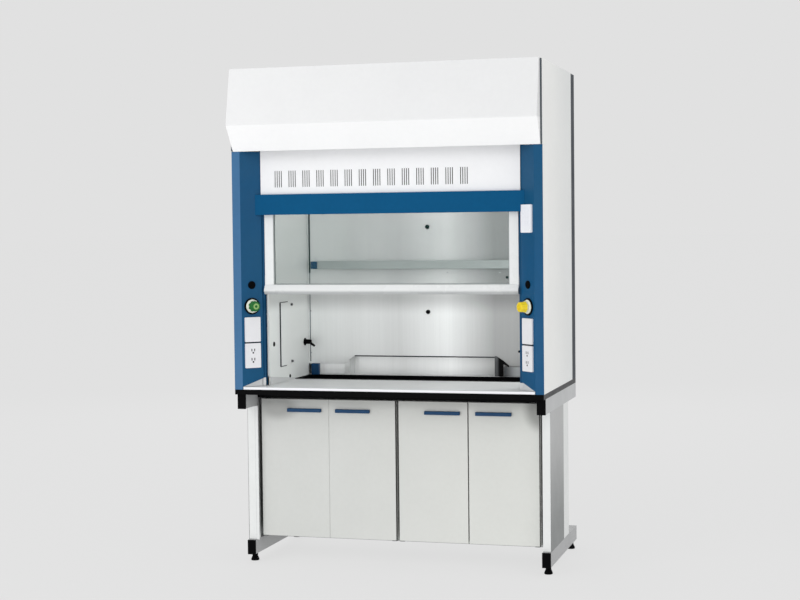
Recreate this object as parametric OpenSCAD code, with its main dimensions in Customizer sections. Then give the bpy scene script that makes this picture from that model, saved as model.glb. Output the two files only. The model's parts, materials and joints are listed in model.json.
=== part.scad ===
// Bench-mounted ducted fume hood on a cantilever steel frame with two
// suspended base cabinets. Origin: centre of the bounding box, on the floor.
// X = width, -Y = working front, Z = up.

/* [Overall] */
// Overall width of the hood
hood_w = 1500; // [1480:10:1600]
// Overall height from the floor to the top of the fascia
hood_h = 2380; // [2370:5:2440]
// Thickness of the folded sheet steel parts
sheet = 2; // [1.2:0.1:2.5]

/* [Bench] */
// Height of the working surface above the floor
bench_z = 870; // [866:1:874]
// Thickness of the worktop slab
top_t = 12; // [8:1:14]
// Wall of the square steel tubes in the bench frame
tube_wall = 3; // [2:0.5:4]

/* [Sash] */
// Height of the handle's underside above the floor with the sash at rest
sash_z = 1311; // [1290:1:1330]
// Overall height of the sash frame
sash_h = 860; // [840:5:870]
// Thickness of the safety glass
glass_t = 6; // [5:0.5:7]

/* [Controls] */
// Width of the service plates on the corner posts
plate_w = 80; // [70:1:84]
// Height of the service plates on the corner posts
plate_h = 118; // [100:1:119]
// Radius of the service valve knobs
knob_r = 24; // [20:0.5:26]

/* [Cabinets] */
// Thickness of a cabinet door
door_t = 18; // [16:0.5:19]
// Length of a door pull
pull_l = 172; // [140:1:180]
// Radial clearance of every running fit
run_fit = 0.05; // [0.02:0.01:0.09]

/* [Ventilation] */
// Outer radius of the exhaust collar
collar_r = 125; // [100:1:126]
// Number of slot groups in the bypass panel
slot_groups = 14; // [8:1:14]

/* [Hidden] */
$fn = 48;

w2 = hood_w / 2;          // half width
yf = -384;                // front plane of the corner posts
yr = 475;                 // rear plane
band_z0 = 834;            // underside of the black band
band_z1 = bench_z - top_t;
post_z1 = 1992;           // top of the corner posts
face_w = 77;              // plan depth of the angled control face
face_x = w2 - 40;         // outer edge of the angled face
in_x = face_x - face_w;   // inner edge of the corner post
in_y = yf + face_w;
liner_x = 615;            // inner face of the side liners
liner_y0 = -262;
baffle_y = 310;
ceil_z = 2100;
roof_z = 2318;
collar_y = 310;
hdr_z0 = 1691;
hdr_z1 = 1788;
sash_x = 620;             // half width of the sash
sash_y0 = -301;
sash_y1 = -277;
stile_w = 44;
rail_h = 46;
belt_x = 652;
belt_w = 12;
pul_r = 40;
pul_y = -230;
pul_z1 = 2260;
pul_z0 = 1180;
arm_z = sash_z + 680;
cab_z0 = 124;
cab_z1 = 797;
door_y = -195;            // front face of the doors
door_z0 = 125;
door_z1 = 796;
cab_y0 = door_y + door_t + 3.5;
cab_y1 = 300;
piv_y = door_y + door_t - 7;
// door edges: hinge edge, free edge, direction from hinge to free edge
doors = [[-687, -344, 1], [-8, -341, -1], [8, 346, 1], [690, 352, -1]];

module box(x0, x1, y0, y1, z0, z1) {
  translate([min(x0, x1), min(y0, y1), min(z0, z1)])
    cube([abs(x1 - x0), abs(y1 - y0), abs(z1 - z0)]);
}
module both() { children(); mirror([1, 0, 0]) children(); }
module xcyl(r, x0, x1) {
  translate([x0, 0, 0]) rotate([0, 90, 0]) cylinder(r = r, h = x1 - x0);
}
// plan outline swept upwards
module prism(pts, z0, z1) {
  translate([0, 0, z0]) linear_extrude(z1 - z0) polygon(pts);
}
// side outline (y, z) swept along x
module side_prism(pts, x0, x1) {
  translate([x0, 0, 0]) rotate([90, 0, 90]) linear_extrude(x1 - x0)
    polygon(pts);
}
// square tube along y
module ytube(x0, x1, y0, y1, z0, z1, t) {
  difference() {
    box(x0, x1, y0, y1, z0, z1);
    box(x0 + t, x1 - t, y0 - 1, y1 + 1, z0 + t, z1 - t);
  }
}
// places a child on the angled face of the right post: local -Y is the
// outward normal, the origin is the middle of the face at height z
module on_face(z, u = 54) {
  translate([face_x, yf, z]) rotate([0, 0, -45]) translate([-u, 0, 0])
    children();
}
// rounded rectangular plate in the XZ plane, growing towards -Y
module plate(w, h, t, r = 4) {
  rotate([90, 0, 0]) linear_extrude(t) union() {
    square([w - 2 * r, h], center = true);
    square([w, h - 2 * r], center = true);
    for (a = [-1, 1], b = [-1, 1])
      translate([a * (w / 2 - r), b * (h / 2 - r)]) circle(r = r);
  }
}

// ---- bench frame -------------------------------------------------------
module side_beams() {
  color("#c9cbcc") both() {
    ytube(face_x, w2, yf + 39, yr, 763, band_z0, tube_wall);
    difference() {
      ytube(face_x, w2, -240, yr, 38, 107, tube_wall);
      for (y = [-199, 420]) translate([w2 - 20, y, 30])
        cylinder(r = 5 + run_fit, h = 20);
    }
  }
}
module frame_legs() {
  // the front leg is set in by the thickness of the side panel over it
  color("#dfe0e0") both() for (l = [[-227, -167, 2.5], [114, 250, 0]])
    difference() {
      box(face_x, w2 - l[2], l[0], l[1], 107, 763);
      box(face_x + tube_wall, w2 - l[2] - tube_wall, l[0] + tube_wall,
          l[1] - tube_wall, 100, 770);
    }
}
module cross_rails() {
  color("#c9cbcc") {
    for (y = [-130, 320]) difference() {
      box(-face_x, face_x, y, y + 40, 802, band_z0);
      box(-w2, w2, y + tube_wall, y + 40 - tube_wall, 802 + tube_wall,
          band_z0 - tube_wall);
    }
    difference() {
      box(-face_x, face_x, 190, 230, 45, 105);
      box(-w2, w2, 190 + tube_wall, 230 - tube_wall, 45 + tube_wall,
          105 - tube_wall);
    }
  }
}
module beam_end_caps() {
  color("#1c1d1f") both() {
    for (c = [[yf + 39, 763, band_z0], [-240, 38, 107]]) {
      box(face_x - 1, w2, c[0] - 9, c[0], c[1] - 2, c[2] - 0.5);
      box(face_x + tube_wall + 0.3, w2 - tube_wall - 0.3, c[0], c[0] + 25,
          c[1] + tube_wall + 0.3, c[2] - tube_wall - 0.3);
    }
  }
}
module levelling_feet() {
  color("#1a1b1d") both() for (y = [-199, 420])
    translate([w2 - 20, y, 0]) {
      cylinder(r = 20, h = 8);
      translate([0, 0, 8]) cylinder(r1 = 20, r2 = 13, h = 14);
      cylinder(r = 13, h = 34);
      cylinder(r = 15, h = 38, $fn = 6);
      cylinder(r = 5, h = 47);
    }
}
module leg_side_panels() {
  color("#a4a7a7") both() {
    box(w2 - 2.5, w2, -226, 114, 107, 763);
    box(w2 - 24, w2 - 22, -167, 114, 107, 763);
    box(w2 - 22, w2 - 2.5, -60, -30, 107, 763);
  }
}

// ---- bench top ---------------------------------------------------------
module base_band() {
  color("#1f2022") difference() {
    box(-w2, w2, yf, yr, band_z0, band_z1);
    box(-w2 + 42, w2 - 42, yf + 42, yr - 42, band_z0 - 1, band_z1 + 1);
  }
  // angle that closes the gap between the cabinet doors and the band
  color("#1f2022") side_prism([[-190, 801.5], [-187, 801.5], [-187, 831],
    [-130, 831], [-130, band_z0], [-190, band_z0]],
    -face_x + 1, face_x - 1);
}
module worktop() {
  color("#c8cacb") difference() {
    box(-face_x + 2, face_x - 2, yf + 2, 420, band_z1, bench_z);
    box(-600, 600, 81, 294, band_z1 - 1, bench_z + 1);
    // shallow dish that holds spills
    box(-598, 598, yf + 26, 60, bench_z - 3, bench_z + 1);
  }
}
module drain_trough() {
  color("#0e0f10") difference() {
    union() {
      box(-608, 608, 73, 302, bench_z, bench_z + 3);
      box(-598, 598, 83, 292, bench_z - 55, bench_z + 1);
      translate([-520, 188, bench_z - 100]) cylinder(r = 20, h = 60);
    }
    box(-594, 594, 87, 288, bench_z - 51, bench_z + 5);
    translate([-520, 188, bench_z - 110]) cylinder(r = 17, h = 80);
  }
}

// ---- base cabinets -----------------------------------------------------
module carcass(x0, x1) {
  difference() {
    union() {
      box(x0, x1, cab_y0, cab_y1, cab_z0, cab_z1);
      for (x = [x0 + 40, x1 - 100]) box(x, x + 60, -130, -90, cab_z1, 802);
    }
    box(x0 + 16, x1 - 16, cab_y0 - 1, cab_y1 - 12, cab_z0 + 16,
        cab_z1 - 16);
  }
}
// the left cabinet's top has a clearance hole for the drain pipe
module left_cabinet() {
  color("#d9dbd8") difference() {
    carcass(-690, -6);
    translate([-520, 188, cab_z1 - 30]) cylinder(r = 32, h = 60);
  }
}
module right_cabinet() { color("#dcdedb") carcass(6, 693); }
module cabinet_shelves() {
  color("#cfd1ce") for (x = [[-674, -22], [22, 677]])
    box(x[0] + 0.5, x[1] - 0.5, -120, 285, 452, 468);
}
module hinge_brackets() {
  color("#b7babd") for (d = doors) {
    x = d[0] + d[2] * 7;
    for (z = [[cab_z1, cab_z1 + 3], [cab_z0 - 3, cab_z0]])
      difference() {
        box(x - 6.5 * d[2], x + 16 * d[2], piv_y - 7, -140,
            z[0], z[1]);
        translate([x, piv_y, z[0] - 1]) cylinder(r = 3.02, h = 5);
      }
  }
}
module hinge_pins() {
  color("#8f9396") for (d = doors)
    translate([d[0] + d[2] * 7, piv_y, 0]) {
      translate([0, 0, cab_z1 - 13]) cylinder(r = 3, h = 16);
      translate([0, 0, cab_z0 - 3]) cylinder(r = 3, h = 16);
    }
}
module door(i) {
  d = doors[i];
  x = d[0] + d[2] * 7;
  color("#dfe0dd") difference() {
    box(d[0], d[1], door_y, door_y + door_t, door_z0, door_z1);
    translate([x, piv_y, door_z1 - 14]) cylinder(r = 3 + run_fit, h = 20);
    translate([x, piv_y, door_z0 - 6]) cylinder(r = 3 + run_fit, h = 20);
  }
}
// hooked finger pull: a web along the top and a lip hanging in front
module handle(i) {
  d = doors[i];
  x1 = d[1] - d[2] * 35;
  x0 = x1 - d[2] * pull_l;
  color("#1d4f86") {
    side_prism([[door_y, 752], [door_y, 736], [door_y - 3, 736],
      [door_y - 3, 748.5], [door_y - 12, 748.5], [door_y - 12, 736],
      [door_y - 13, 735], [door_y - 14, 735], [door_y - 15, 736],
      [door_y - 15, 750], [door_y - 13, 752]],
      min(x0, x1), max(x0, x1));
  }
}

// ---- superstructure ----------------------------------------------------
module post() {
  s = sheet;
  k = s * 0.4142;
  difference() {
    prism([[w2, yf], [face_x, yf], [in_x, in_y], [in_x, -299],
      [in_x + s, -299], [in_x + s, in_y + k], [face_x + k, yf + s],
      [w2 - 2 * s, yf + s], [w2 - 2 * s, -340], [w2 - s, -340],
      [w2 - s, yf + s], [w2, yf + s]], band_z1, post_z1);
    // raked cut under the angled face, clear of the worktop
    translate([0, -250, 0]) rotate([90, 0, 0])
      linear_extrude(250) polygon([[in_x - 5, 800], [face_x, 800],
        [face_x, bench_z + 1], [in_x - 5, bench_z + 40]]);
    // cut-outs for the service valve, the plug and the two plates
    on_face(1256) rotate([90, 0, 0]) cylinder(r = 15, h = 10,
      center = true);
    on_face(1357) rotate([90, 0, 0]) cylinder(r = 15, h = 10,
      center = true);
    on_face(1144) cube([60, 10, 96], center = true);
    on_face(1019) cube([60, 10, 96], center = true);
  }
}
module left_post() { color("#245b8a") mirror([1, 0, 0]) post(); }
module right_post() {
  color("#245b8a") difference() {
    post();
    on_face(1658) cube([60, 10, 104], center = true);
  }
}
module header_bar() {
  color("#16588a") difference() {
    prism([[-in_x - 22.8, -330], [in_x + 22.8, -330], [in_x, in_y],
      [-in_x, in_y]], hdr_z0, hdr_z1);
    box(-w2, w2, -328, in_y - 2, hdr_z0 + sheet, hdr_z1 - sheet);
    // relief for the top of the controller on the right post
    on_face(1658) cube([plate_w + 2, 26, 130], center = true);
  }
}
module bypass_panel() {
  color("#eceded") difference() {
    box(-in_x + 1, in_x - 1, in_y - 4, in_y - 4 + sheet, hdr_z1, 2024);
    for (g = [0:slot_groups - 1], s = [0:3])
      box(-560 + g * 70 + s * 10.5, -556 + g * 70 + s * 10.5,
          in_y - 9, in_y + 5, 1822, 1900);
  }
}
module fascia() {
  fx = w2 - 8;
  t = sheet;
  color("#f3f4f4") {
    side_prism([[-418, hood_h], [-475, 2114], [-386, post_z1 + 0.5],
      [-386 + t, post_z1 + 0.5 + t], [-475 + 1.3 * t, 2114 + 0.2 * t],
      [-418 + 0.8 * t, hood_h - t], [-392, hood_h - t],
      [-392, hood_h]], -fx, fx);
    both() side_prism([[-418 + 0.5, hood_h - 0.5], [-475 + 0.5, 2114],
      [-386 + 0.4, post_z1 + 1], [-384.2, post_z1 + 1],
      [-384.2, hood_h - 0.5]], fx - t, fx);
  }
}
module side_panels() {
  color("#e6e7e4") both()
    box(w2 - sheet, w2, yf + sheet, 380, band_z1, hood_h);
}
module rear_corner_strips() {
  color("#7b8388") both() prism([[w2, 380], [w2, yr], [w2 - 60, yr],
    [w2 - 60, yr - 3], [w2 - 3, yr - 3], [w2 - 3, 380]], band_z1,
    hood_h - 2);
}
module rear_panel() {
  color("#cfd2d3") box(-w2 + 4, w2 - 4, yr - 6, yr - 3, band_z1, roof_z);
}
module roof_panel() {
  color("#d5d8d9") difference() {
    box(-w2 + sheet, w2 - sheet, liner_y0, yr - 3, roof_z, roof_z + 2);
    translate([0, collar_y, roof_z - 1])
      cylinder(r = collar_r + 3, h = 5, $fn = 96);
    for (a = [-1, 1]) box(a * (w2 - sheet - 62), a * w2, 379, yr,
      roof_z - 1, roof_z + 3);
  }
}
module exhaust_collar() {
  color("#c3c7c9") translate([0, collar_y, 0]) difference() {
    union() {
      translate([0, 0, ceil_z + 4]) cylinder(r = collar_r,
        h = hood_h - 4 - ceil_z - 4, $fn = 96);
      translate([0, 0, ceil_z + 4]) cylinder(r = collar_r + 20, h = 3,
        $fn = 96);
    }
    translate([0, 0, ceil_z]) cylinder(r = collar_r - 3,
      h = hood_h - ceil_z, $fn = 96);
  }
}

// ---- working chamber ---------------------------------------------------
module side_liners() {
  color("#dfe3e1") {
    difference() {
      box(-liner_x - 4, -liner_x, liner_y0, baffle_y + 4, bench_z, ceil_z);
      box(-liner_x - 6, -liner_x + 1, -95, 20, 975, 1230);
    }
    box(liner_x, liner_x + 4, liner_y0, baffle_y + 4, bench_z, ceil_z);
  }
}
module chamber_ceiling() {
  color("#e3e6e5") difference() {
    box(-liner_x - 4, liner_x + 4, liner_y0, yr - 6, ceil_z, ceil_z + 4);
    translate([0, collar_y, ceil_z - 1]) cylinder(r = collar_r - 3,
      h = 8, $fn = 96);
    box(-300, 300, -80, 40, ceil_z - 1, ceil_z + 5);
  }
}
module lamp_unit() {
  color("#f0f1ef") {
    difference() {
      box(-310, 310, -90, 50, ceil_z + 4, ceil_z + 60);
      box(-300, 300, -80, 40, ceil_z + 2, ceil_z + 57);
    }
    box(-299, 299, -79, 39, ceil_z, ceil_z + 4);
  }
}
// baffle plate with a trapezoidal slot along the foot, a middle slot
// behind the rail and a free gap below the ceiling
module rear_baffle() {
  color("#c9cccc") {
    difference() {
      translate([0, baffle_y + 2, 0]) rotate([90, 0, 0])
        linear_extrude(2) polygon([[-614, 928], [-423, 928], [-365, 970],
          [365, 970], [423, 928], [614, 928], [614, 2052],
          [-614, 2052]]);
      for (x = [-520:80:440]) box(x, x + 50, baffle_y - 5, baffle_y + 5,
        1424, 1438);
    }
    // inner back plate of the duct space
    box(-liner_x, liner_x, baffle_y + 84, baffle_y + 86, bench_z, 2090);
    // foot plates that stand the baffle off the duct back
    for (x = [-420, 392]) box(x, x + 28, baffle_y + 2, baffle_y + 84,
      bench_z, 1010);
  }
}
module baffle_rail() {
  color("#9aa6a4") union() {
    box(-558, 590, baffle_y - 4, baffle_y, 1442, 1457);
    box(-558, 590, baffle_y - 14, baffle_y - 10, 1416, 1457);
    box(-558, 590, baffle_y - 10, baffle_y - 4, 1450, 1457);
  }
}
module baffle_blocks() {
  color("#1f4c80") {
    box(-590, -558.2, baffle_y - 24, baffle_y, 1417, 1455);
    box(590.2, 613, baffle_y - 24, baffle_y, 1417, 1455);
    both() box(552, 592, baffle_y - 26, baffle_y, bench_z + 3, 930);
  }
}
module baffle_knobs() {
  color("#141516") for (p = [[27, 1627], [27, 1197], [436, 1371]])
    translate([p[0], baffle_y, p[1]]) rotate([90, 0, 0]) {
      cylinder(r = 11, h = 4);
      cylinder(r = 5, h = 12);
      translate([0, 0, 8]) cylinder(r = 9, h = 8, $fn = 8);
    }
}
module water_outlet() {
  color("#151617") translate([-liner_x, 252, 1045]) {
    xcyl(19, 0, 5);
    xcyl(14, 0, 36);
    translate([24, 0, 0]) rotate([0, 125, 0]) cylinder(r = 5, h = 40);
    translate([24, 0, 0]) rotate([0, 125, 0]) translate([0, 0, 20])
      cylinder(r1 = 7, r2 = 5, h = 14);
    translate([20, 0, 0]) cylinder(r = 12, h = 20, $fn = 32);
  }
}
module gas_nozzle() {
  color("#151617") translate([liner_x, 35, 1041]) mirror([1, 0, 0]) {
    xcyl(19, 0, 5);
    xcyl(12, 0, 40);
    translate([30, 0, 0]) rotate([0, 115, 0]) cylinder(r = 5, h = 36);
  }
}
module inspection_cover() {
  color("#dfe3e1") box(-liner_x, -liner_x + 2, -115, 62, 948, 1260);
}
module cover_screws() {
  // two thumb screws on the cover, two blanking plugs in the liner
  color("#2a2c2e") for (p = [[44, 1246, 2, 6, 9], [44, 962, 2, 6, 9],
      [20, 889, 0, 9, 4], [-205, 1064, 0, 12, 4]])
    translate([-liner_x + p[2], p[0], p[1]]) xcyl(p[3], 0, p[4]);
}

// ---- services ----------------------------------------------------------
module valve_base() {
  rotate([90, 0, 0]) difference() {
    union() {
      cylinder(r = 40, h = 6);
      translate([0, 0, 6]) cylinder(r1 = 33, r2 = 27, h = 6);
      translate([0, 0, 12]) cylinder(r = 21, h = 6);
    }
    translate([0, 0, 4]) cylinder(r = 5 + run_fit, h = 20);
  }
}
module valve_bases() {
  color("#e8e6d8") both() on_face(1256) valve_base();
}
// fluted hand knob with its spindle
module valve_knob() {
  rotate([90, 0, 0]) {
    translate([0, 0, 5]) cylinder(r = 5, h = 20);
    difference() {
      union() {
        translate([0, 0, 19]) cylinder(r = knob_r, h = 28);
        translate([0, 0, 47]) cylinder(r1 = knob_r, r2 = knob_r - 4,
          h = 4);
      }
      for (a = [0:45:315]) rotate([0, 0, a + 22.5])
        translate([knob_r + 4, 0, 22]) cylinder(r = 8, h = 40);
    }
  }
}
module water_knob() {
  color("#2f9a4a") mirror([1, 0, 0]) on_face(1256) valve_knob();
}
module gas_knob() { color("#f4d920") on_face(1256) valve_knob(); }
// one three-slot outlet
module outlet_cut() {
  for (a = [-1, 1]) translate([a * 6.5, -8, 4]) cube([2, 8, 8],
    center = true);
  translate([0, -4, -7]) rotate([90, 0, 0]) cylinder(r = 2.6, h = 8);
}
module service_plates() {
  color("#f2f2f3") both() {
    on_face(1144) plate(plate_w, plate_h, 8);
    on_face(1019) difference() {
      plate(plate_w, plate_h, 8);
      translate([0, 0, 22]) outlet_cut();
      translate([0, 0, -22]) outlet_cut();
    }
  }
}
module controller() {
  color("#e6e8ea") on_face(1658) difference() {
    plate(plate_w, 128, 12);
    // shallow seat for the membrane
    translate([0, -12, 8]) cube([62, 2, 84], center = true);
  }
}
module hole_plugs() {
  color("#121314") both() on_face(1357) rotate([90, 0, 0]) {
    cylinder(r = 19, h = 3);
    translate([0, 0, 3]) cylinder(r1 = 18, r2 = 14, h = 3);
    translate([0, 0, -5]) cylinder(r = 14, h = 8);
  }
}

// ---- sash and its balance gear ----------------------------------------
module sash_frame() {
  z0 = sash_z;
  z1 = sash_z + sash_h;
  color("#f4f5f5") difference() {
    union() {
      both() box(sash_x - stile_w, sash_x, sash_y0, sash_y1, z0 + 20, z1);
      box(-sash_x, sash_x, sash_y0, sash_y1, z1 - 34, z1);
      side_prism([[sash_y1, z0 + 2], [sash_y1, z0 + rail_h],
        [sash_y0, z0 + rail_h], [sash_y0 - 5, z0 + rail_h - 3],
        [sash_y0 - 18, z0 + 21], [sash_y0 - 19, z0 + 17],
        [sash_y0 - 16, z0 + 11], [sash_y0 - 6, z0],
        [sash_y1 - 2, z0]], -sash_x, sash_x);
    }
    // glazing groove
    box(-sash_x + 34, sash_x - 34, -289 - glass_t / 2 - 0.2,
        -289 + glass_t / 2 + 0.2, z0 + 36, z1 - 24);
  }
}
module sash_glass() {
  color([0.62, 0.78, 0.74, 0.35]) box(-sash_x + 35, sash_x - 35,
    -289 - glass_t / 2, -289 + glass_t / 2, sash_z + 37,
    sash_z + sash_h - 25);
}
module sash_guides() {
  color("#245b8a") both() difference() {
    box(622, 645, -299, -279, bench_z + 2, 2350);
    box(621, 643, -297, -281, bench_z, 2360);
  }
}
module sash_glides() {
  color("#f0efe6") both() for (z = [sash_z + 30, sash_z + sash_h - 90])
    box(sash_x, 642, -296.6, -281.4, z, z + 60);
}
module sash_arms() {
  color("#a9adb0") both() {
    box(585, 668, sash_y1, sash_y1 + 4, arm_z - 20, arm_z + 20);
    box(664.5, 668, sash_y1 + 4, sash_y1 + 7, arm_z - 20, arm_z + 20);
    box(651, 668, sash_y1 + 7, sash_y1 + 11, arm_z - 20, arm_z + 20);
  }
}
module counterweights() {
  color("#4b4f53") both() {
    box(674, 738, pul_y + 5, pul_y + 80, 1378, 1660);
    difference() {
      box(650.5, 674, pul_y + 36, pul_y + 47, 1600, 1640);
      box(650, 664.5, pul_y + 40, pul_y + 42.8, 1599, 1641);
    }
  }
}
module belt_outline(r) {
  for (z = [pul_z0, pul_z1]) translate([pul_y, z]) circle(r = r, $fn = 64);
  translate([pul_y - r, pul_z0]) square([2 * r, pul_z1 - pul_z0]);
}
module timing_belts() {
  color("#26282a") both() translate([belt_x, 0, 0]) rotate([90, 0, 90])
    linear_extrude(belt_w) difference() {
      belt_outline(pul_r + 2.3);
      belt_outline(pul_r + 0.3);
    }
}
module pulley(bore) {
  difference() {
    union() {
      xcyl(pul_r, belt_x - 1, belt_x + belt_w + 1);
      xcyl(pul_r + 4, belt_x - 2, belt_x - 0.6);
      xcyl(pul_r + 4, belt_x + belt_w + 0.6, belt_x + belt_w + 2);
    }
    xcyl(bore, belt_x - 5, belt_x + belt_w + 5);
    for (a = [0:60:300]) rotate([a, 0, 0]) translate([0, 24, 0])
      xcyl(6.5, belt_x - 5, belt_x + belt_w + 5);
  }
}
module top_pulleys() {
  color("#b4b8bb") both() translate([0, pul_y, pul_z1]) pulley(8.02);
}
module lower_pulleys() {
  color("#b4b8bb") both() translate([0, pul_y, pul_z0])
    pulley(8 + run_fit);
}
module sync_shaft() {
  color("#9ea3a6") translate([0, pul_y, pul_z1]) xcyl(8, -715, 715);
}
module pulley_brackets() {
  color("#5d6367") both() {
    difference() {
      box(700, 730, pul_y - 25, pul_y + 25, pul_z1 - 30, pul_z1 + 30);
      translate([0, pul_y, pul_z1]) xcyl(8 + run_fit, 690, 740);
    }
    box(730, w2 - sheet, pul_y - 40, pul_y + 40, pul_z1 - 40,
        pul_z1 + 40);
    box(liner_x + 4, liner_x + 20, pul_y - 25, pul_y + 25, pul_z0 - 30,
        pul_z0 + 30);
    translate([0, pul_y, pul_z0]) xcyl(8, liner_x + 10, 668);
  }
}

side_beams();
frame_legs();
cross_rails();
beam_end_caps();
levelling_feet();
leg_side_panels();
base_band();
worktop();
drain_trough();
left_cabinet();
right_cabinet();
cabinet_shelves();
hinge_brackets();
hinge_pins();
door(0);  // door_1
door(1);  // door_2
door(2);  // door_3
door(3);  // door_4
handle(0);  // handle_1
handle(1);  // handle_2
handle(2);  // handle_3
handle(3);  // handle_4
left_post();
right_post();
header_bar();
bypass_panel();
fascia();
side_panels();
rear_corner_strips();
rear_panel();
roof_panel();
exhaust_collar();
side_liners();
chamber_ceiling();
lamp_unit();
rear_baffle();
baffle_rail();
baffle_blocks();
baffle_knobs();
water_outlet();
gas_nozzle();
inspection_cover();
cover_screws();
valve_bases();
water_knob();
gas_knob();
service_plates();
controller();
hole_plugs();
sash_frame();
sash_glass();
sash_guides();
sash_glides();
sash_arms();
counterweights();
sync_shaft();
top_pulleys();
lower_pulleys();
timing_belts();
pulley_brackets();
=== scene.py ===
import json
import math

import bmesh
import bpy
from mathutils import Matrix, Vector


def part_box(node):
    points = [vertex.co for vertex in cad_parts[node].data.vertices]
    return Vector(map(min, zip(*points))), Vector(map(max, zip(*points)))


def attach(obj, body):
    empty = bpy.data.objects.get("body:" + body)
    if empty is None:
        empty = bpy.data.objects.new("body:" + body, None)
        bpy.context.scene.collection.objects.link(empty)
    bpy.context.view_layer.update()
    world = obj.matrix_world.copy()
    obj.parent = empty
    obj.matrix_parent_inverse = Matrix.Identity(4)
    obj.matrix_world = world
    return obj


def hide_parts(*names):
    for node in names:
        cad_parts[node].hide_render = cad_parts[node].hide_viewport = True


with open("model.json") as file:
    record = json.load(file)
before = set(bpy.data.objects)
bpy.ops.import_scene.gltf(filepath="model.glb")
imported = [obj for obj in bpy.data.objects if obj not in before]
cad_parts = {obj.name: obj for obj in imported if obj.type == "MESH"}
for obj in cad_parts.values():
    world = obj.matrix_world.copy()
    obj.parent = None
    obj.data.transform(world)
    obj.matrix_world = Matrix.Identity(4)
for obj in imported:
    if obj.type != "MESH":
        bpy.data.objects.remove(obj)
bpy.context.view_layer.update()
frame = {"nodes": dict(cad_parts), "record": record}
NODE = frame["nodes"]
SLOT = {s["node"]: s["material_slot"] for s in frame["record"]["subparts"]}
scene = bpy.context.scene

# ------------------------------------------------------------------ camera
yaw, pitch, roll = 0.275, -0.0431, -0.0108
fwd = Vector((-math.sin(yaw) * math.cos(pitch),
              math.cos(yaw) * math.cos(pitch), math.sin(pitch)))
right = Vector((math.cos(yaw), math.sin(yaw), 0))
up = right.cross(fwd)
r2 = math.cos(roll) * right + math.sin(roll) * up
u2 = -math.sin(roll) * right + math.cos(roll) * up
cam_data = bpy.data.cameras.new("camera")
cam_data.lens = 72.29
cam_data.sensor_width = 36.0
cam_data.clip_end = 1000
cam = bpy.data.objects.new("camera", cam_data)
scene.collection.objects.link(cam)
cam.matrix_world = Matrix((
    (r2.x, u2.x, -fwd.x, 2.09652),
    (r2.y, u2.y, -fwd.y, -7.54668),
    (r2.z, u2.z, -fwd.z, 1.609005),
    (0, 0, 0, 1)))
scene.camera = cam
scene.view_settings.view_transform = "Standard"
scene.view_settings.look = "None"


# --------------------------------------------------------------- materials
def lin(r, g, b):
    def one(v):
        v /= 255.0
        return v / 12.92 if v <= 0.04045 else ((v + 0.055) / 1.055) ** 2.4
    return (one(r), one(g), one(b))


class Mat:
    """Small helper that builds one procedural material."""

    def __init__(self, name):
        self.m = bpy.data.materials.new(name)
        self.m.use_nodes = True
        self.t = self.m.node_tree
        self.t.nodes.clear()
        self.out = self.t.nodes.new("ShaderNodeOutputMaterial")
        self.bs = self.t.nodes.new("ShaderNodeBsdfPrincipled")
        self.t.links.new(self.bs.outputs[0], self.out.inputs[0])
        self.tc = self.t.nodes.new("ShaderNodeTexCoord").outputs["Object"]

    def put(self, sock, value):
        if isinstance(value, bpy.types.NodeSocket):
            self.t.links.new(value, sock)
        else:
            sock.default_value = value

    def node(self, kind, ins=None, **attrs):
        n = self.t.nodes.new(kind)
        for k, v in attrs.items():
            setattr(n, k, v)
        for k, v in (ins or {}).items():
            self.put(n.inputs[k], v)
        return n

    def mapped(self, scale=(1, 1, 1), loc=(0, 0, 0)):
        return self.node("ShaderNodeMapping", {
            "Vector": self.tc, "Scale": scale, "Location": loc}).outputs[0]

    def noise(self, scale, detail=2.0, rough=0.5, vec=None, dist=0.0):
        return self.node("ShaderNodeTexNoise", {
            "Vector": vec or self.tc, "Scale": scale, "Detail": detail,
            "Roughness": rough, "Distortion": dist}).outputs[0]

    def rng(self, v, a, b, c, d, smooth=False):
        n = self.node("ShaderNodeMapRange", {
            "Value": v, "From Min": a, "From Max": b, "To Min": c,
            "To Max": d})
        if smooth:
            n.interpolation_type = "SMOOTHSTEP"
        return n.outputs[0]

    def math(self, op, a, b=0.0):
        n = self.node("ShaderNodeMath", operation=op)
        self.put(n.inputs[0], a)
        self.put(n.inputs[1], b)
        return n.outputs[0]

    def mix(self, f, a, b):
        n = self.node("ShaderNodeMix", data_type="RGBA")
        self.put(n.inputs[0], f)
        self.put(n.inputs[6], a if isinstance(a, bpy.types.NodeSocket)
                 else tuple(a) + (1,))
        self.put(n.inputs[7], b if isinstance(b, bpy.types.NodeSocket)
                 else tuple(b) + (1,))
        return n.outputs[2]

    def value(self, col, v):
        return self.node("ShaderNodeHueSaturation", {
            "Color": col if isinstance(col, bpy.types.NodeSocket)
            else tuple(col) + (1,), "Value": v}).outputs[0]

    def bump(self, h, strength, dist, normal=None):
        ins = {"Height": h, "Strength": strength, "Distance": dist}
        n = self.node("ShaderNodeBump", ins)
        if normal is not None:
            self.put(n.inputs["Normal"], normal)
        return n.outputs[0]

    def xyz(self):
        return self.node("ShaderNodeSeparateXYZ", {0: self.tc}).outputs

    def set(self, **k):
        names = {"color": "Base Color", "rough": "Roughness",
                 "metal": "Metallic", "normal": "Normal", "alpha": "Alpha",
                 "spec": "Specular IOR Level", "ior": "IOR",
                 "coat": "Coat Weight", "coat_rough": "Coat Roughness",
                 "sheen": "Sheen Weight", "emit": "Emission Color",
                 "power": "Emission Strength", "aniso": "Anisotropic"}
        for a, v in k.items():
            s = self.bs.inputs[names[a]]
            if a in ("color", "emit") and not isinstance(
                    v, bpy.types.NodeSocket):
                v = tuple(v)[:3] + (1,)
            self.put(s, v)
        return self.m


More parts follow.
